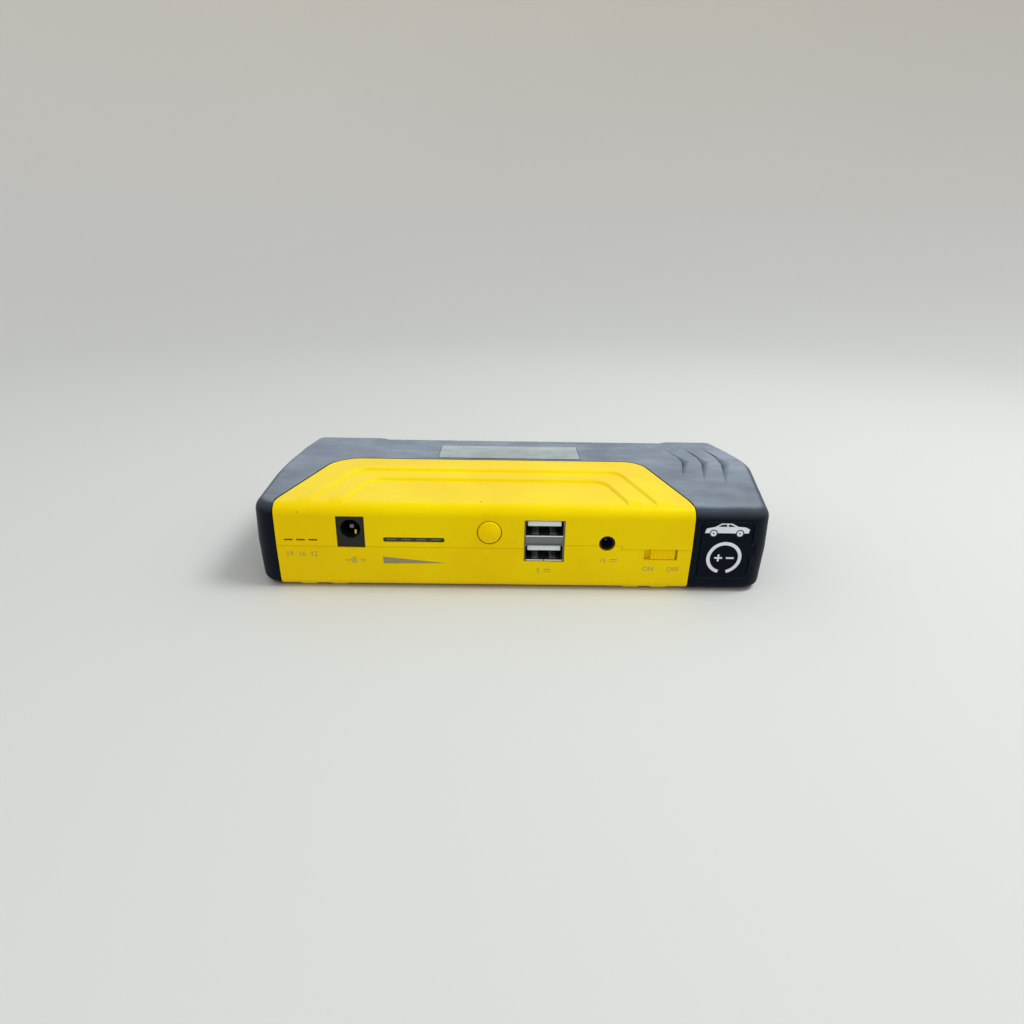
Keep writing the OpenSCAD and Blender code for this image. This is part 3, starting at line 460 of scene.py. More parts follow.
# %% [markdown]
# ## Finishing a piece
# A sharp moulded edge is never truly sharp: a narrow bevel catches the light along it.
# Weighted normals then keep the flat faces flat next to it. Where short edges crowd a
# corner, as on the shells, the bevel is clamped so that it doesn't run over them. The piece
# rides on its CAD body and stands for its CAD nodes.


# %% Finish a piece
SHARP = math.radians(32)


def finish_piece(piece, material, body, replaces=(), edge=0.0, clamp=False):
    """Scales a piece to metres, bevels its edges by so many millimetres and dresses it."""
    tidy(piece)
    piece.data.transform(Matrix.Scale(MM, 4))
    piece.data.polygons.foreach_set("use_smooth", [True] * len(piece.data.polygons))
    piece.data.set_sharp_from_angle(angle=SHARP)
    if edge:
        bevel = piece.modifiers.new("moulded edge", "BEVEL")
        bevel.width, bevel.segments = edge * MM, 2
        bevel.limit_method, bevel.angle_limit = "ANGLE", SHARP
        bevel.miter_outer, bevel.use_clamp_overlap = "MITER_ARC", clamp
    normals = piece.modifiers.new("flat faces stay flat", "WEIGHTED_NORMAL")
    normals.keep_sharp, normals.weight = True, 60
    piece.data.materials.clear()
    piece.data.materials.append(material)
    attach(piece, body)
    if replaces:
        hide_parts(*replaces)
    print(piece.name, len(piece.data.polygons), "faces")
    return piece


# %% [markdown]
# ## The case
# The real case is moulded as two shells, each with a seat into which the yellow panel is
# clipped. Both shells are drawn upwards from the parting line, and the lower one is
# turned over. The same form, drawn in, gives the hollow and the seat.


# %% Forms of the case
def form(height, radius, inset=0.0, start=REVEAL / 2, steps=9):
    """The case above the parting line, drawn in by inset, with draft and a rounded rim."""
    left = max(radius - inset, 0.3)  # what is left of the rounding
    levels = [(start, inset)]
    if start < 0:
        levels.append((REVEAL / 2, inset))
    for i in range(steps + 1):
        angle = math.pi / 2 * i / steps
        z = height - inset - left + left * math.sin(angle)
        levels.append((z, DRAFT * (height - radius) + inset + left - left * math.cos(angle)))
    return solid("form", loft(BODY, levels))


def placed(piece, upper):
    """Puts a shell that is drawn upwards over, or under, the parting line."""
    turn = Matrix.Identity(4) if upper else Matrix.Scale(-1, 4, (0, 0, 1))
    piece.data.transform(Matrix.Translation((0, 0, PARTING)) @ turn)
    if not upper:
        piece.data.flip_normals()
    return piece


def raised_corners(height, radius):
    """The two raised corners at the back: steep inside, with a long gentle slope in front."""
    grown = None
    # in front the rim has a wide rounding, so that it grows out of the case's own rim
    for wider, back, inset in ((1.2, 0, 0), (0.8, 3, 0.03), (0.4, 6, 0.06), (0, 9, 0.09)):
        pads = []
        for foot, top in PADS:
            slope = 2.5 + inset
            levels = [(foot, height - 0.6 * radius - inset, inset), (foot, height - DROP - 0.01, inset)]
            levels += [(top, height + 0.01, slope), (top, height + 1, slope)]
            pads.append(tapered(levels))
        tool = joined("pads", *pads)
        tool.data.transform(Matrix.Translation((0, back, 0)))
        part = combine(form(height - 0.4 * inset, radius + wider), tool, "INTERSECT")
        grown = combine(grown, part, "UNION") if grown else part
    return grown


def rounded_rim(height, radius):
    """Steps of a rounded upper rim, as (inset, z)."""
    turns = [math.radians(angle) for angle in (0, 30, 60, 90)]
    return [(radius * (1 - math.cos(turn)), height - radius * (1 - math.sin(turn))) for turn in turns]


def rib(height, radius, plan, fade):
    """One rib along three sides of the panel, which fades out on the front edge."""
    outside = [(height - 0.8 * radius, -0.2), (height - DROP, -0.15), (height - 0.3, 0.2)]
    outside += [(height - 0.1, 0.38), (height, 0.6), (height + 2, 1.0)]
    ridge = solid("ridge", loft(plan, outside))
    # a rounding that is wider by fade meets the panel sooner
    combine(ridge, form(height, radius + fade), "INTERSECT")
    crest = RIB_W - RIB_SLOPE
    inside = [(height - radius - 1, RIB_W + 3.0), (height - DROP - 1, RIB_W + 0.9)]
    inside += [(height - DROP, RIB_W), (height - 0.12, crest + 0.3), (height, crest - 0.15)]
    inside.append((height + 3, crest - 0.4))
    return combine(ridge, solid("basin", loft(plan, inside)))


print("rib crest", RIB_W - RIB_SLOPE, "mm wide, slope", RIB_SLOPE, "mm")

# %% [markdown]
# Every socket needs its hole, and one tool cuts all of them at once through both shells
# and both panels, so that the holes line up.

# %% The tool that cuts the front openings
USB_X, USB_Z, USB_W, USB_H = 8.35, PARTING + 2.5, 13.2, 14.8
JACK_X, JACK_Z, JACK_W, JACK_H = -55.2, PARTING + 5.1, 9.0, 10.8
INPUT_X, INPUT_Z, BUTTON_X, BUTTON_Z = 29.1, PARTING + 2.1, -9.8, PARTING + 5.5
SWITCH_X, SWITCH_Z, WINDOW_X, LIGHTS_Z = 47.2, PARTING - 1.8, -34.6, PARTING + 2.6
COVER_X, COVER_Z, COVER_W, COVER_H = 68.4, PARTING + 0.1, 16.8, 20.6
VOLTAGE_X = (-75.7, -71.7, -67.7)  # a slit and a number for each voltage
OUT, IN = FRONT - 2, FRONT + WALL + 1.3  # a cut runs from before the front to behind its wall

holes = [
    front_block(JACK_X, JACK_Z, JACK_W + 2 * FIT, JACK_H + 2 * FIT, 0.3, OUT, IN),
    front_block(USB_X, USB_Z, USB_W + 2 * FIT, USB_H + 2 * FIT, 0.25, OUT, IN),
    front_rod(INPUT_X, INPUT_Z, 5.4, OUT, IN),
    front_rod(BUTTON_X, BUTTON_Z, 8.25, OUT, IN),
    front_block(SWITCH_X, SWITCH_Z, 11.2, 4.0, 0.3, OUT, IN),
    front_block(WINDOW_X, LIGHTS_Z, 20.2, 1.7, 0.7, OUT, IN),
    *[front_block(x, LIGHTS_Z - 0.4, 3.0, 0.6, 0.25, OUT, IN) for x in VOLTAGE_X],
]
print("front openings:", len(holes))
openings = joined("openings", *holes)
SINK = FRONT + 2.0  # floor of the pocket that the cover fills
pocket = joined("pocket", front_block(COVER_X, COVER_Z, COVER_W + 0.5, COVER_H + 0.5, 2.2, OUT, SINK))
tab_room = front_block(COVER_X + COVER_W / 2, COVER_Z, 3.4, 5.1, 0.6, OUT, SINK)
combine(pocket, joined("tab", tab_room), "UNION")
passage = joined("passage", front_block(COVER_X, COVER_Z, 12.6, 18.8, 1.2, OUT, FRONT + WALL + 3))
wing_room = front_block(SWITCH_X - 0.2, SWITCH_Z, 16.5, 5.4, 0.3, FRONT + 1, FRONT + 3.2)
wing_room = joined("wing room", wing_room)
torch_bore = solid("torch bore", rod((-89, 10, PARTING), 6.6, 14, "X", 64))


# %% [markdown]
# ### Black shells
# The grip notches cross the rounding of the rear edge. The arrows on the right end are
# shallow grooves: deep along their inner side, with a floor that rises to the outer one.


# %% Black shells
def seat_tool(height, radius):
    """What the yellow panel takes out of a black shell."""
    tool = solid("seat", block(PANEL, -2, height + 2))
    return combine(tool, form(height, radius, SEAT, -3))


NOTCHES, NOTCH_PITCH, NOTCH_DEPTH = 10, 11.7, 1.5
POST_R, BORE_R, HEAD_R = 3.1, 1.5, 2.75  # round each screw


def notch_tool(height, radius):
    """A row of slanted slots across the rounding of the rear edge."""
    foot = (math.sqrt(2) - 1) * radius + NOTCH_DEPTH
    notches = []
    for i in range(NOTCHES):
        bm = box((1.2, 6, foot + 0.5))
        rotate(bm, 20, "Z")
        move(bm, (0, 0, (0.5 - foot) / 2))
        rotate(bm, -45, "X")
        along = 3.6 + (i - (NOTCHES - 1) / 2) * NOTCH_PITCH
        move(bm, (along, BACK - DRAFT * (height - radius), height))
        notches.append(bm)
    return joined("notches", *notches)


def arrow_tool():
    """Three grooves with a floor that rises from their inner side, each larger than the last."""
    arrows = []
    for i in range(3):
        point = Vector((67.7 + i * 8, 10.3 - i * 0.7, 0))
        start = point + Vector((-5.2 - i * 0.6, 14.6 + i * 2.4, 0))
        neck = start.lerp(point, 0.6) - Vector((0.9, 0, 0))
        inner = point - Vector((2.7 + i * 0.6, 0.4 + i * 0.6, 0))
        end = point - Vector((7.2 + i * 1.3, 20.2 + i * 3.4, 0))
        bm = bmesh.new()
        floor = []
        for spot, depth in ((start, 0.15), (neck, 0.5), (inner, 0.8), (end, 0.0), (point, 0.05)):
            floor.append(bm.verts.new((spot.x, spot.y, HEIGHT - DROP - depth)))
        for corners in ((0, 1, 4), (1, 2, 4), (2, 3, 4)):
            bm.faces.new([floor[corner] for corner in corners])
        made = bmesh.ops.extrude_face_region(bm, geom=bm.faces[:])["geom"]
        for vert in [item for item in made if isinstance(item, bmesh.types.BMVert)]:
            vert.co.z = HEIGHT + 1
        arrows.append(bm)
    return joined("arrows", *arrows)


def black_shell(name, upper):
    height, radius = (UP, EDGE) if upper else (DOWN, FOOT)
    shell = form(height - DROP, radius - DROP)
    combine(shell, raised_corners(height, radius), "UNION")
    combine(shell, form(height - DROP, radius - DROP, WALL, -3))
    combine(shell, seat_tool(height - DROP, radius - DROP))
    combine(shell, notch_tool(height - DROP, radius - DROP))
    placed(shell, upper)
    posts, bores = [], []
    low, high = (PARTING + 0.1, HEIGHT - DROP - WALL + 0.6) if upper else (DROP + 0.4, PARTING - 0.1)
    foot, head = PARTING - 16, PARTING + 9  # of the bores
    for x, y in SCREWS:
        posts.append(rod((x, y, (low + high) / 2), POST_R, high - low))
        bores.append(rod((x, y, (foot + head) / 2), BORE_R, head - foot))
    combine(shell, joined("posts", *posts), "UNION")
    combine(shell, joined("bores", *bores))
    for tool in (openings, wing_room, pocket, passage, torch_bore):
        combine(shell, tool, keep=True)
    shell.name = name
    return shell


upper_shell = black_shell("upper_shell", True)
combine(upper_shell, arrow_tool())
plate_seat = rectangle(-31.4, 25.0, 11.0, 27.8, 0.4)
combine(upper_shell, solid("plate seat", block(plate_seat, HEIGHT - DROP - 0.2, HEIGHT + 2)))
lower_shell = black_shell("lower_shell", False)
combine(lower_shell, joined("heads", *[rod((x, y, 0.4), HEAD_R, 6) for x, y in SCREWS]))

# %% [markdown]
# A lip on the lower shell closes the parting line from inside, as on any two-part case.
# The step of the parting line at the charging jack belongs to the lower panel.

# %% Lip and step of the parting line
lip = solid("lip", block(BODY, PARTING - 2, PARTING + 1.5, WALL + FIT))
combine(lip, solid("lip hollow", block(BODY, PARTING - 3, PARTING + 3, WALL + 1.15)))
for tool in (openings, passage, torch_bore):
    combine(lip, tool, keep=True)
finish_piece(lip, black_abs, "case")
lip.name = "parting_lip"

STEP_LEFT, STEP_RIGHT, STEP_H = USB_X + USB_W / 2 - 1, INPUT_X + 5, 1.2


def step_block(gap, y0, y1, z0):
    """The step between z0 and its top, with a gap at its right end and above it."""
    size = (STEP_RIGHT + gap - STEP_LEFT, y1 - y0, PARTING + STEP_H + gap - z0)
    bm = box(size)
    move(bm, ((STEP_LEFT + STEP_RIGHT + gap) / 2, (y0 + y1) / 2, z0 + size[2] / 2))
    return solid("step", bm)


combine(upper_shell, step_block(REVEAL, OUT, FRONT + WALL + 0.2, PARTING - 1))
finish_piece(upper_shell, black_abs, "case", ["upper_housing"], 0.22, True)
finish_piece(lower_shell, black_abs, "case", ["lower_housing"], 0.22, True)


# %% [markdown]
# ### Yellow panels
# The panel follows the case round its front edge. Its ribs rise from the same surface, so
# they are joined to it before the panel is cut to its outline and hollowed.


# %% Yellow panels
def yellow_panel(upper):
    height, radius = (UP, EDGE) if upper else (DOWN, FOOT)
    panel = form(height - DROP, radius - DROP)
    for plan in RIBS:
        combine(panel, rib(height, radius, plan, 1.0 if upper else 0.25), "UNION")
    levels = [(-2, PANEL_GAP)]
    levels += [(z, PANEL_GAP + inset) for inset, z in rounded_rim(height - DROP, 0.4)]
    levels.append((height + 2, PANEL_GAP + 0.4))
    combine(panel, solid("outline", loft(PANEL, levels)), "INTERSECT")
    combine(panel, form(height - DROP, radius - DROP, SKIN, -3))
    return placed(panel, upper)


upper_panel = yellow_panel(True)
combine(upper_panel, openings, keep=True)
combine(upper_panel, step_block(REVEAL, OUT, FRONT + WALL, PARTING - 1))
upper_panel.name = "upper_panel"
finish_piece(upper_panel, yellow_abs, "case", ["upper_front_panel"], 0.12, True)
lower_panel = yellow_panel(False)
combine(lower_panel, step_block(0.0, FRONT + 0.04, FRONT + SKIN, PARTING - 1), "UNION")
combine(lower_panel, openings, keep=True)
lower_panel.name = "lower_panel"
finish_piece(lower_panel, yellow_abs, "case", ["lower_front_panel"])
for tool in (openings, wing_room, pocket, passage, torch_bore):
    drop(tool)

# %% [markdown]
# ### Label plate
# A thin plate lies in a shallow seat behind the panel. It carries no print here.

# %% Label plate
plate = rectangle(-31.2, 24.8, 11.2, 27.6, 0.4)
label_plate = solid("label_plate_face", block(plate, HEIGHT - 0.99, HEIGHT - 0.61, segments=4))
finish_piece(label_plate, plate_vinyl, "case", ["label_plate"], 0.08)

# %% [markdown]
# ## Button, switch and window
# Round pieces are turned: a profile is drawn from the middle outwards and spun once round.


# %% Turned pieces
def turned(profile, steps=64):
    """Spins a profile of (radius, distance along the axis) round Z."""
    bm = bmesh.new()
    verts = [bm.verts.new((r, 0, h)) for r, h in profile]
    edges = [bm.edges.new(pair) for pair in zip(verts, verts[1:])]
    bmesh.ops.spin(
        bm, geom=verts + edges, cent=(0, 0, 0), axis=(0, 0, 1), angle=2 * math.pi, steps=steps,
        use_merge=True,
    )
    bmesh.ops.remove_doubles(bm, verts=bm.verts, dist=MERGE)
    return bm


def arc(r, h, start, end, radius, steps=6):
    """Points of a rounded edge in a profile, for turned()."""
    angles = [math.radians(start + (end - start) * i / steps) for i in range(steps + 1)]
    return [(r + radius * math.cos(a), h + radius * math.sin(a)) for a in angles]


def to_front(bm, x, z):
    """Turns the axis of a turned piece to point out of the front, and moves it there."""
    stand_up(bm)
    move(bm, (x, 0, z))
    return bm


# %% Power button
crown = [(0.0, 40.75), (1.2, 40.69), (2.1, 40.52), (2.8, 40.28)]
collar = [(3.85, 36.4), (4.6, 36.4), (4.6, 35.8), (1.6, 35.8), (1.6, 34.8), (0.0, 34.8)]
button_profile = crown + arc(3.15, 39.55, 75, 0, 0.7) + collar
button = solid("power_button_cap", to_front(turned(button_profile), BUTTON_X, BUTTON_Z))
finish_piece(button, yellow_knob, "button", ["power_button"])

# %% Switch knob with its grip ribs
KNOB_X, KNOB_L, KNOB_H = 48.0, 8.2, 3.7
KNOB_RIBS, RIB_PITCH, RIB_R = 8, 0.98, 0.36
knob_body = front_block(KNOB_X, SWITCH_Z, KNOB_L, KNOB_H, 0.25, FRONT + 0.55, FRONT + 4.1)
knob = solid("switch_knob_grip", knob_body)
wings = solid("wings", front_block(KNOB_X, SWITCH_Z, 14.2, 5.1, 0.3, FRONT + 1.8, FRONT + 2.7))
ribs = []
for i in range(KNOB_RIBS):
    x = KNOB_X + (i - (KNOB_RIBS - 1) / 2) * RIB_PITCH
    ribs.append(rod((x, FRONT + 0.62, SWITCH_Z), RIB_R, KNOB_H - 0.2, segments=16))
combine(knob, wings, "UNION")
combine(knob, joined("grip", *ribs), "UNION")
finish_piece(knob, yellow_knob, "knob", ["switch_knob"])

# %% Window of the charge level, and its lights
pane = front_block(WINDOW_X, LIGHTS_Z, 20.0, 1.5, 0.7, FRONT + 0.5, FRONT + 3.3)
window = solid("level_window_pane", pane)
finish_piece(window, smoked_acrylic, "case", ["level_window"], 0.15)
dashes = [
    front_block(WINDOW_X + x, LIGHTS_Z, 3.2, 0.5, 0.2, FRONT + 0.46, FRONT + 0.6)
    for x in (-7.4, -2.5, 2.4, 7.3)
]
dashes = joined("level_marks", *dashes)
# dark smoked panes fill the voltage slits: painted shade for their dark inside
slit_shade_panes = [front_block(x, LIGHTS_Z - 0.4, 3.0, 0.6, 0.2, FRONT + 0.8, FRONT + 1.6) for x in VOLTAGE_X]
finish_piece(joined("voltage_slit_painted_shade", *slit_shade_panes), smoked_acrylic, "case")
level_glow = plain_finish("level_light_diffuser", "#6d6648", 0.4, 0.4, 0.01)
finish_piece(dashes, level_glow, "case")

# %% [markdown]
# ## Sockets
# Each socket is built from the pieces that the real one has: a moulded block with a bore,
# a pin with a rounded nose, a folded steel shell with ports, tongues and springs.

# %% DC output jack
jack_body = front_block(JACK_X, JACK_Z, JACK_W, JACK_H, 0.25, FRONT + 0.45, FRONT + 14.5)
jack = solid("output_jack_block", jack_body)
bore = front_rod(JACK_X, JACK_Z + 1, 6.5, FRONT - 1, FRONT + 10)
combine(jack, solid("bore", bore))
finish_piece(jack, black_nylon, "case", ["dc_output_jack"], 0.2)
nose = [(0.0, 37.5), (0.35, 37.47)] + arc(0.4, 36.8, 75, 0, 0.65) + [(1.05, 25.0), (0.0, 25.0)]
pin = solid("output_jack_pin", to_front(turned(nose, 32), JACK_X, JACK_Z + 1))
# the pin's darker steel paints the shade in the bore
finish_piece(pin, steel_darkened_for_shade, "case", ["dc_output_contacts"])
leaf_bm = front_block(JACK_X + 1.25, JACK_Z - 0.75, 0.8, 1.6, 0.15, 0, 6.5)
rotate(leaf_bm, -5, "X", (JACK_X, 0, JACK_Z))
move(leaf_bm, (0, FRONT + 2.4, 0))
leaf = solid("output_jack_leaf", leaf_bm)
finish_piece(leaf, gold_plate, "case", (), 0.08)

# %% Charging jack
inner_wall, outer_wall = [(2.0, 29.0), (2.0, 39.15), (2.15, 39.3)], [(2.6, 39.3), (2.6, 27.0)]
sleeve_profile = [(0.0, 29.0)] + inner_wall + outer_wall + [(0.0, 27.0)]
input_sleeve = solid("charging_jack_sleeve", to_front(turned(sleeve_profile), INPUT_X, INPUT_Z))
finish_piece(input_sleeve, black_nylon, "case", (), 0.08)
input_block = front_block(INPUT_X, PARTING + 0.56, 9.0, 11.08, 0.3, FRONT + 12.9, FRONT + 15.2)
input_body = solid("charging_jack_body", input_block)
finish_piece(input_body, black_nylon, "case", ["dc_input_jack"], 0.15)
nose = [(0.0, 36.8)] + arc(0.35, 36.5, 90, 0, 0.3) + [(0.65, 27.0), (0.0, 27.0)]
input_pin = solid("charging_jack_pin", to_front(turned(nose, 24), INPUT_X, INPUT_Z))
finish_piece(input_pin, pin_darkened_for_shade, "case", ["dc_input_pin"])
ring_profile = [(1.98, 35.5), (1.7, 35.5), (1.7, 30.0), (1.98, 30.0)]
ring_mesh = to_front(turned(ring_profile + ring_profile[:1], 32), INPUT_X, INPUT_Z)
inner_ring = solid("charging_jack_spring", ring_mesh)
finish_piece(inner_ring, pin_darkened_for_shade, "case")

# %% [markdown]
# The double USB socket is one folded steel shell with two ports. Each port has a white
# tongue under its roof, four plated contacts, and two sprung tabs in its floor.

# %% Double USB socket
MOUTH = FRONT + 0.9
PORT_H, PORT_W = 5.2, 12.4
PORTS = [USB_Z + side * (USB_H / 2 - 0.4 - PORT_H / 2) for side in (-1, 1)]
usb = solid("usb_steel_shell", front_block(USB_X, USB_Z, USB_W, USB_H, 0.8, MOUTH, FRONT + 18))
hollow = [front_block(USB_X, z, PORT_W, PORT_H, 0.5, MOUTH - 1, MOUTH + 15.6) for z in PORTS]
web_dip = front_block(USB_X, USB_Z, PORT_W, 2.9, 0.1, MOUTH - 1, MOUTH + 0.5)
combine(usb, joined("hollow", *hollow, web_dip))
# the darker steel paints the shade on the walls of the ports
finish_piece(usb, steel_darkened_for_shade, "case", ["usb_shell"], 0.1)
low_lip = -USB_H / 2 + 0.28
lips = []
for x, z, length in ((0, 1.62, PORT_W - 0.2), (-3.15, low_lip, 5.9), (3.15, low_lip, 5.9)):
    lips.append(rod((USB_X + x, MOUTH + 0.1, USB_Z + z), 0.24, length, "X", 20))
finish_piece(joined("usb_rolled_lips", *lips), bright_nickel, "case")
tongues, contacts, springs, backs = [], [], [], []
for z in PORTS:
    roof = z + PORT_H / 2 - 0.35
    tongues.append(front_block(USB_X, roof - 0.92, 11.1, 1.84, 0.2, FRONT + 1.9, FRONT + 12.0))
    backs.append(front_block(USB_X, z, 12.2, 5.0, 0.3, FRONT + 11.9, FRONT + 15.9))
    for x in (-3.5, -1.0, 1.0, 3.5):
        contacts.append(front_block(USB_X + x, roof - 1.94, 1.0, 0.2, 0.05, FRONT + 4.0, FRONT + 11.5))
    for x in (-2.9, 2.9):
        spring = front_block(USB_X + x, z - PORT_H / 2 + 0.28, 2.3, 0.35, 0.1, FRONT + 2.0, FRONT + 8.0)
        rotate(spring, 9, "X", (0, FRONT + 2.0, z - PORT_H / 2))
        springs.append(spring)
tongues = joined("usb_white_tongues", *tongues)
finish_piece(tongues, white_pbt, "case", ["usb_tongues"], 0.15)
finish_piece(joined("usb_gold_contacts", *contacts), gold_plate, "case", ["usb_contacts"])
finish_piece(joined("usb_floor_springs", *springs), nickel_steel, "case")
finish_piece(joined("usb_black_backs", *backs), black_nylon, "case")

# %% [markdown]
# ## Engine start cover
# The cover is soft rubber. It fills a pocket in the front, with a finger tab at its free
# side and a hollow plug behind it. The front leans back with the draft of the case, so the
# cover and the prints are sheared by the same amount.


# %% Cover
def lean(bm):
    """Leans a piece back with the draft of the front, away from a crease on the parting line."""
    everything = bm.verts[:] + bm.edges[:] + bm.faces[:]
    bmesh.ops.bisect_plane(bm, geom=everything, dist=0.0001, plane_co=(0, 0, PARTING), plane_no=(0, 0, 1))
    for vert in bm.verts:
        vert.co.y += DRAFT * abs(vert.co.z - PARTING)


FACE, REAR = FRONT - 0.02, FRONT + 1.7  # of the flap
cover = solid("engine_cover_flap", front_block(COVER_X, COVER_Z, COVER_W, COVER_H, 2.0, FACE, REAR))
tab = solid("tab", front_block(COVER_X + COVER_W / 2, COVER_Z, 2.8, 4.6, 0.5, FACE, REAR))
combine(cover, tab, "UNION")
bm = bmesh.new()
bm.from_mesh(cover.data)
lean(bm)
bm.to_mesh(cover.data)
bm.free()
plug = solid("plug", front_block(COVER_X, COVER_Z, 9.0, 15.6, 1.0, FRONT + 1.5, FRONT + 3.1))
combine(plug, solid("plug hollow", front_block(COVER_X, COVER_Z, 6.6, 13.2, 0.6, FRONT + 2.3, FRONT + 4)))
combine(cover, plug, "UNION")
finish_piece(cover, black_rubber, "cover", ["engine_start_cover"], 0.25)

# %% [markdown]
# ## Prints
# The prints are plain: numbers under the voltage lights, ON and OFF at the switch, signs
# for the sockets, and a car and a ring on the cover. Each is cut from a flat shape, made
# as thick as a coat of ink, and laid on the leaning front.


# %% Printing helpers
INK = 0.05


def printed(name, shapes, material, body, surface=FRONT):
    """Lays flat shapes, drawn in x and z, on the front as one coat of ink."""
    bm = bmesh.new()
    for shape in shapes:
        bm.from_mesh(shape)
        bpy.data.meshes.remove(shape)
    bmesh.ops.remove_doubles(bm, verts=bm.verts, dist=MERGE)
    made = bmesh.ops.extrude_face_region(bm, geom=bm.faces[:])["geom"]
    bmesh.ops.translate(bm, verts=[v for v in made if isinstance(v, bmesh.types.BMVert)], vec=(0, 0, INK))
    stand_up(bm)
    move(bm, (0, surface + 0.02, 0))
    lean(bm)
    return finish_piece(solid(name, bm), material, body)


def flat(bm):
    """A plain mesh from a flat shape, for printed()."""
    mesh = bpy.data.meshes.new("flat")
    bm.to_mesh(mesh)
    bm.free()
    return mesh


def word(text, size, x, z):
    """The outlines of a plain number or ON and OFF, centred on x and z."""
    curve = bpy.data.curves.new("word", "FONT")
    curve.body, curve.size, curve.align_x, curve.align_y = text, size, "CENTER", "CENTER"
    curve.resolution_u = 4
    holder = bpy.data.objects.new("word", curve)
    bpy.context.scene.collection.objects.link(holder)
    graph = bpy.context.evaluated_depsgraph_get()
    mesh = bpy.data.meshes.new_from_object(holder.evaluated_get(graph))
    bpy.data.objects.remove(holder)
    bpy.data.curves.remove(curve)
    mesh.transform(Matrix.Translation((x, z, 0)))
    return mesh


def bar(x, z, w, h):
    bm = bmesh.new()
    bmesh.ops.create_grid(bm, x_segments=1, y_segments=1, size=0.5, matrix=Matrix.Diagonal((w, h, 1, 1)))
    move(bm, (x, z, 0))
    return flat(bm)


def ring_arc(x, z, inner, outer, start=0.0, sweep=360.0, steps=64):
    """Part of a ring: a short line across its band, spun round its middle."""
    bm = bmesh.new()
    a = math.radians(start)
    ends = [bm.verts.new((x + r * math.cos(a), z + r * math.sin(a), 0)) for r in (inner, outer)]
    edge = bm.edges.new(ends)
    bmesh.ops.spin(
        bm, geom=ends + [edge], cent=(x, z, 0), axis=(0, 0, 1), angle=math.radians(sweep), steps=steps,
        use_merge=sweep >= 360,
    )
    return flat(bm)


def outline(points):
    bm = bmesh.new()
    bm.faces.new([bm.verts.new((x, z, 0)) for x, z in points])
    return flat(bm)


# %% Prints on the panel
numbers = [word(text, 2.5, x, PARTING - 2.9) for text, x in zip(("19", "16", "12"), VOLTAGE_X)]
printed("voltage_numbers", numbers, grey_ink, "case")
words = [word("ON", 2.4, 43.4, PARTING - 7.2), word("OFF", 2.4, 51.8, PARTING - 7.3)]
printed("switch_words", words, grey_ink, "case")
wedge = [(-45.0, PARTING - 6.2), (-24.0, PARTING - 5.85), (-45.0, PARTING - 3.6)]
printed("level_wedge", [outline(wedge)], dark_ink, "case")


def plus(x, z, size, width):
    """A plus of three bars that don't overlap."""
    arm = (size - width) / 2
    ends = [bar(x, z + side * (width + arm) / 2, width, arm) for side in (-1, 1)]
    return [bar(x, z, size, width)] + ends


def polarity(x, z):
    """The plain sign of a round DC plug: a dot in an open ring between minus and plus."""
    parts = [ring_arc(x, z, 0.0, 0.45, steps=24), ring_arc(x, z, 0.85, 1.15, 40, 280, 32)]
    parts += [bar(x - 2.6, z, 1.1, 0.28), bar(x - 1.6, z, 0.9, 0.22), bar(x + 1.55, z, 1.2, 0.22)]
    return parts + plus(x + 2.9, z, 1.1, 0.28)


def direct_current(x, z):
    """The plain sign of direct current: a line over three dashes."""
    return [bar(x, z + 0.45, 2.4, 0.3)] + [bar(x + d, z - 0.35, 0.55, 0.3) for d in (-0.9, 0.0, 0.9)]


printed("output_sign", polarity(-54.4, PARTING - 5.0), grey_ink, "case")
inputs = (("usb_sign", "5", 2.6, 6.6, 9.6, 8.2), ("charging_sign", "15", 2.2, 28.0, 31.6, 4.2))
for name, text, size, text_x, sign_x, below in inputs:
    z = PARTING - below
    printed(name, [word(text, size, text_x, z)] + direct_current(sign_x, z), grey_ink, "case")

# %% Car and ring on the cover
CAR_X, CAR_Z, AXLES = 68.2, PARTING + 7.5, (-4.4, 4.3)


def car_part(*points):
    return outline([(CAR_X + x, CAR_Z + z) for x, z in points])


def round_wheels(inner, outer):
    return [ring_arc(CAR_X + x, CAR_Z - 1.2, inner, outer, steps=32) for x in AXLES]


car_body = car_part(
    (-7.3, -1.1), (7.1, -1.1), (7.4, 0.3), (5.9, 1.0), (3.5, 1.2),
    (1.3, 2.3), (-2.1, 2.3), (-4.0, 1.1), (-6.8, 0.5),
)
printed("car_shape", [car_body], white_ink, "cover", FRONT - 0.05)
cover_ink = plain_finish("black_pad_print", "#141b26", 0.5, 0.4, 0.01)
gaps = [car_part((0.2, 1.15), (2.5, 1.15), (1.0, 1.95), (0.2, 1.95))]
gaps.append(car_part((-3.2, 1.15), (-0.3, 1.15), (-0.3, 1.95), (-1.9, 1.95)))
gaps += round_wheels(0.0, 0.3) + round_wheels(1.0, 1.35)  # hubs and wheel arches
printed("car_windows", gaps, cover_ink, "cover", FRONT - 0.08)
printed("car_wheels", round_wheels(0.3, 1.0), white_ink, "cover", FRONT - 0.08)
RING_X, RING_Z = 68.4, PARTING - 2.6
signs = [ring_arc(RING_X, RING_Z, 4.7, 5.85, -75, 330, 64)]
signs += plus(RING_X - 1.9, RING_Z, 2.6, 0.6) + [bar(RING_X + 2.0, RING_Z, 2.6, 0.6)]
printed("ring_sign", signs, white_ink, "cover", FRONT - 0.05)

# %% [markdown]
# ## Pieces that keep their CAD mesh
# The torch, the pieces behind the cover and all that is inside already have the right
# shape. They only get their finish.

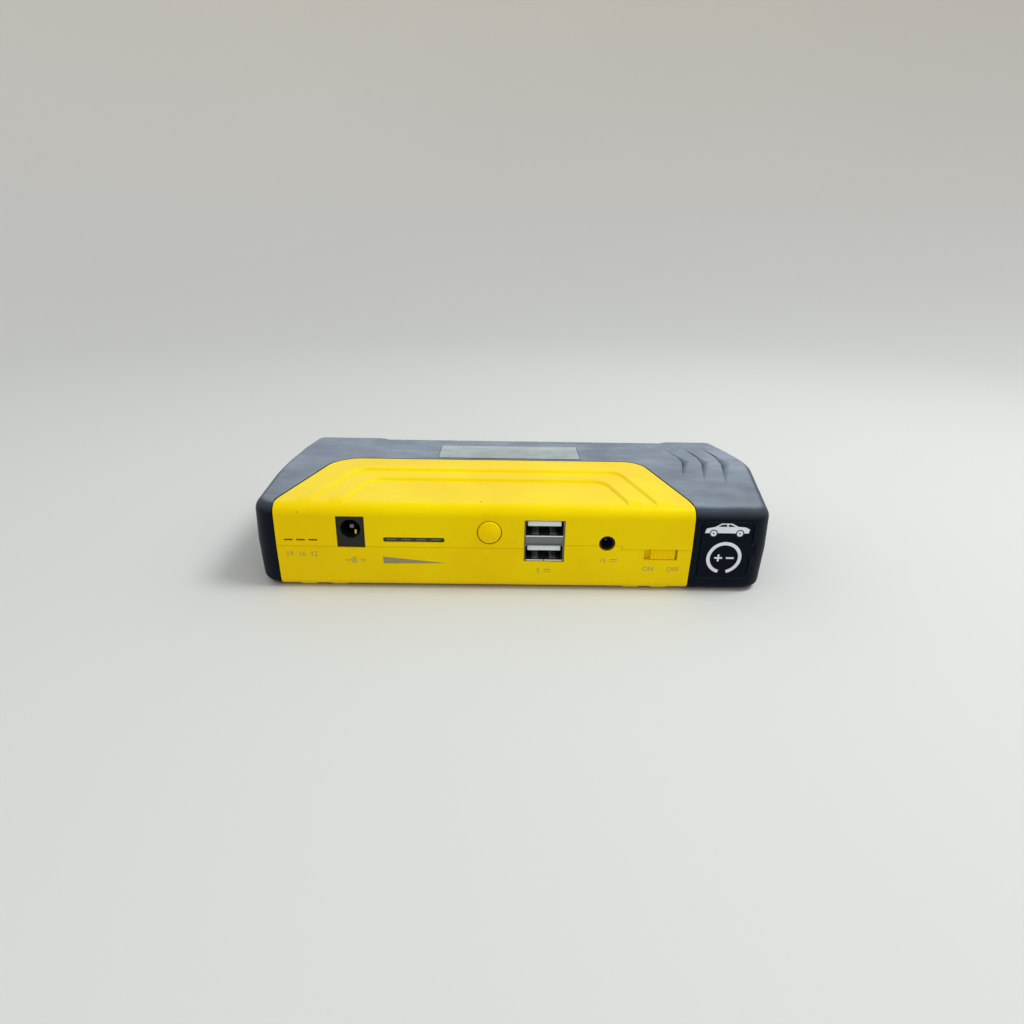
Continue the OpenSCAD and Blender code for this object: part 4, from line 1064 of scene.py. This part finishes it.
# %% Finishes of the CAD nodes
node_finish = {
    "button_switch": epoxy_case, "slide_switch": switch_steel, "level_lights": led_phosphor,
    "voltage_lights": led_phosphor, "engine_start_socket": blue_nylon, "socket_contacts": gold_plate,
    "torch_lens": clear_lens, "torch_reflector": torch_chrome, "torch_light": led_phosphor,
    "battery_cells": cell_foil, "cell_pads": foam_pad, "battery_leads": copper_strap,
    "main_board": board_mask, "output_board": board_mask, "indicator_board": board_mask,
    "board_parts": epoxy_case, "housing_screws": zinc_steel,
}
for name, material in node_finish.items():
    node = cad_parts[name]
    node.data.materials.clear()
    node.data.materials.append(material)
print("CAD nodes shown:", len(node_finish))

# %% [markdown]
# ## Floor, light and camera
# The pack stands in a round pale dish: its floor curves up into a wall, so that no horizon
# shows from any side. The dish and the wall are lines, spun once round. The wall is only
# there to be seen in low views: the light of the sky passes it. A soft lamp hangs over the
# right of the pack, and the even sky above the dish fills the rest.

# %% Floor and wall
floor_paint, tree, shader = new_material("pale_studio_paint", Roughness=0.85, Specular_IOR_Level=0.2)
drift = noise(tree, add(tree, "ShaderNodeTexCoord").outputs["Object"], 500, 2.0)
tree.links.new(mix(tree, drift, linear("#d4d2d1"), linear("#d8d6d5")), shader.inputs["Base Color"])
DISH_R, CURVE_R, CURVE_END, WALL_TOP = 0.6, 0.9, -20, 2.6  # metres, and degrees for the end
dish_line = [(0.0, 0.0), (DISH_R / 2, 0.0), (DISH_R, 0.0)]
dish_line += arc(DISH_R, CURVE_R, -90, CURVE_END, CURVE_R, 16)[1:]
wall_line = arc(DISH_R, CURVE_R, CURVE_END, 0, CURVE_R, 4) + [(DISH_R + CURVE_R, WALL_TOP)]
for name, line in (("studio_dish", dish_line), ("studio_wall", wall_line)):
    bm = turned(line, 96)
    mesh = bpy.data.meshes.new(name)
    bm.to_mesh(mesh)
    bm.free()
    mesh.polygons.foreach_set("use_smooth", [True] * len(mesh.polygons))
    mesh.materials.append(floor_paint)
    dish = bpy.data.objects.new(name, mesh)
    bpy.context.scene.collection.objects.link(dish)
wall = dish
wall.visible_diffuse = wall.visible_glossy = wall.visible_transmission = wall.visible_shadow = False

# %% Lamp and sky
LAMP_PLACE = Vector((0.46, -0.04, 0.75))
softbox = bpy.data.lights.new("overhead softbox", "AREA")
softbox.energy, softbox.shape, softbox.size, softbox.color = 4.0, "DISK", 0.34, (0.93, 1.0, 0.98)
lamp = bpy.data.objects.new("overhead softbox", softbox)
lamp.location = LAMP_PLACE
lamp.rotation_euler = (-LAMP_PLACE).to_track_quat("-Z", "Y").to_euler()
bpy.context.scene.collection.objects.link(lamp)
world = bpy.data.worlds.new("studio sky")
bpy.context.scene.world = world
world.use_nodes = True
tree = world.node_tree
direction = add(tree, "ShaderNodeTexCoord").outputs["Generated"]
height = add(tree, "ShaderNodeSeparateXYZ", {"Vector": direction}).outputs["Z"]
sky = mix(tree, remap(tree, height, 0.35, 0.9, 0.0, 1.0), linear("#fff1dc"), linear("#cfdde4"))
tree.links.new(sky, tree.nodes["Background"].inputs["Color"])
tree.nodes["Background"].inputs["Strength"].default_value = 0.94

# %% Camera
CAMERA_PLACE = Vector((-5.33, -228.20, 106.82)) * MM
YAW, PITCH, ROLL = 0.0149149, 0.393653, 0.0185506
FOCAL_PX, IMAGE_PX, SENSOR = 632.044, 1024, 36.0
ahead = Vector((math.sin(YAW) * math.cos(PITCH), math.cos(YAW) * math.cos(PITCH), -math.sin(PITCH)))
side = Vector((math.cos(YAW), -math.sin(YAW), 0))
rise = side.cross(ahead)
right = math.cos(ROLL) * side + math.sin(ROLL) * rise
upward = -math.sin(ROLL) * side + math.cos(ROLL) * rise
camera_data = bpy.data.cameras.new("camera")
camera_data.sensor_width = SENSOR
camera_data.lens = FOCAL_PX / IMAGE_PX * SENSOR
camera_data.clip_start, camera_data.clip_end = 0.01, 20
camera = bpy.data.objects.new("camera", camera_data)
turn = Matrix((right, upward, -ahead)).transposed()
camera.matrix_world = Matrix.Translation(CAMERA_PLACE) @ turn.to_4x4()
bpy.context.scene.collection.objects.link(camera)
bpy.context.scene.camera = camera
bpy.context.scene.view_settings.view_transform = "Standard"
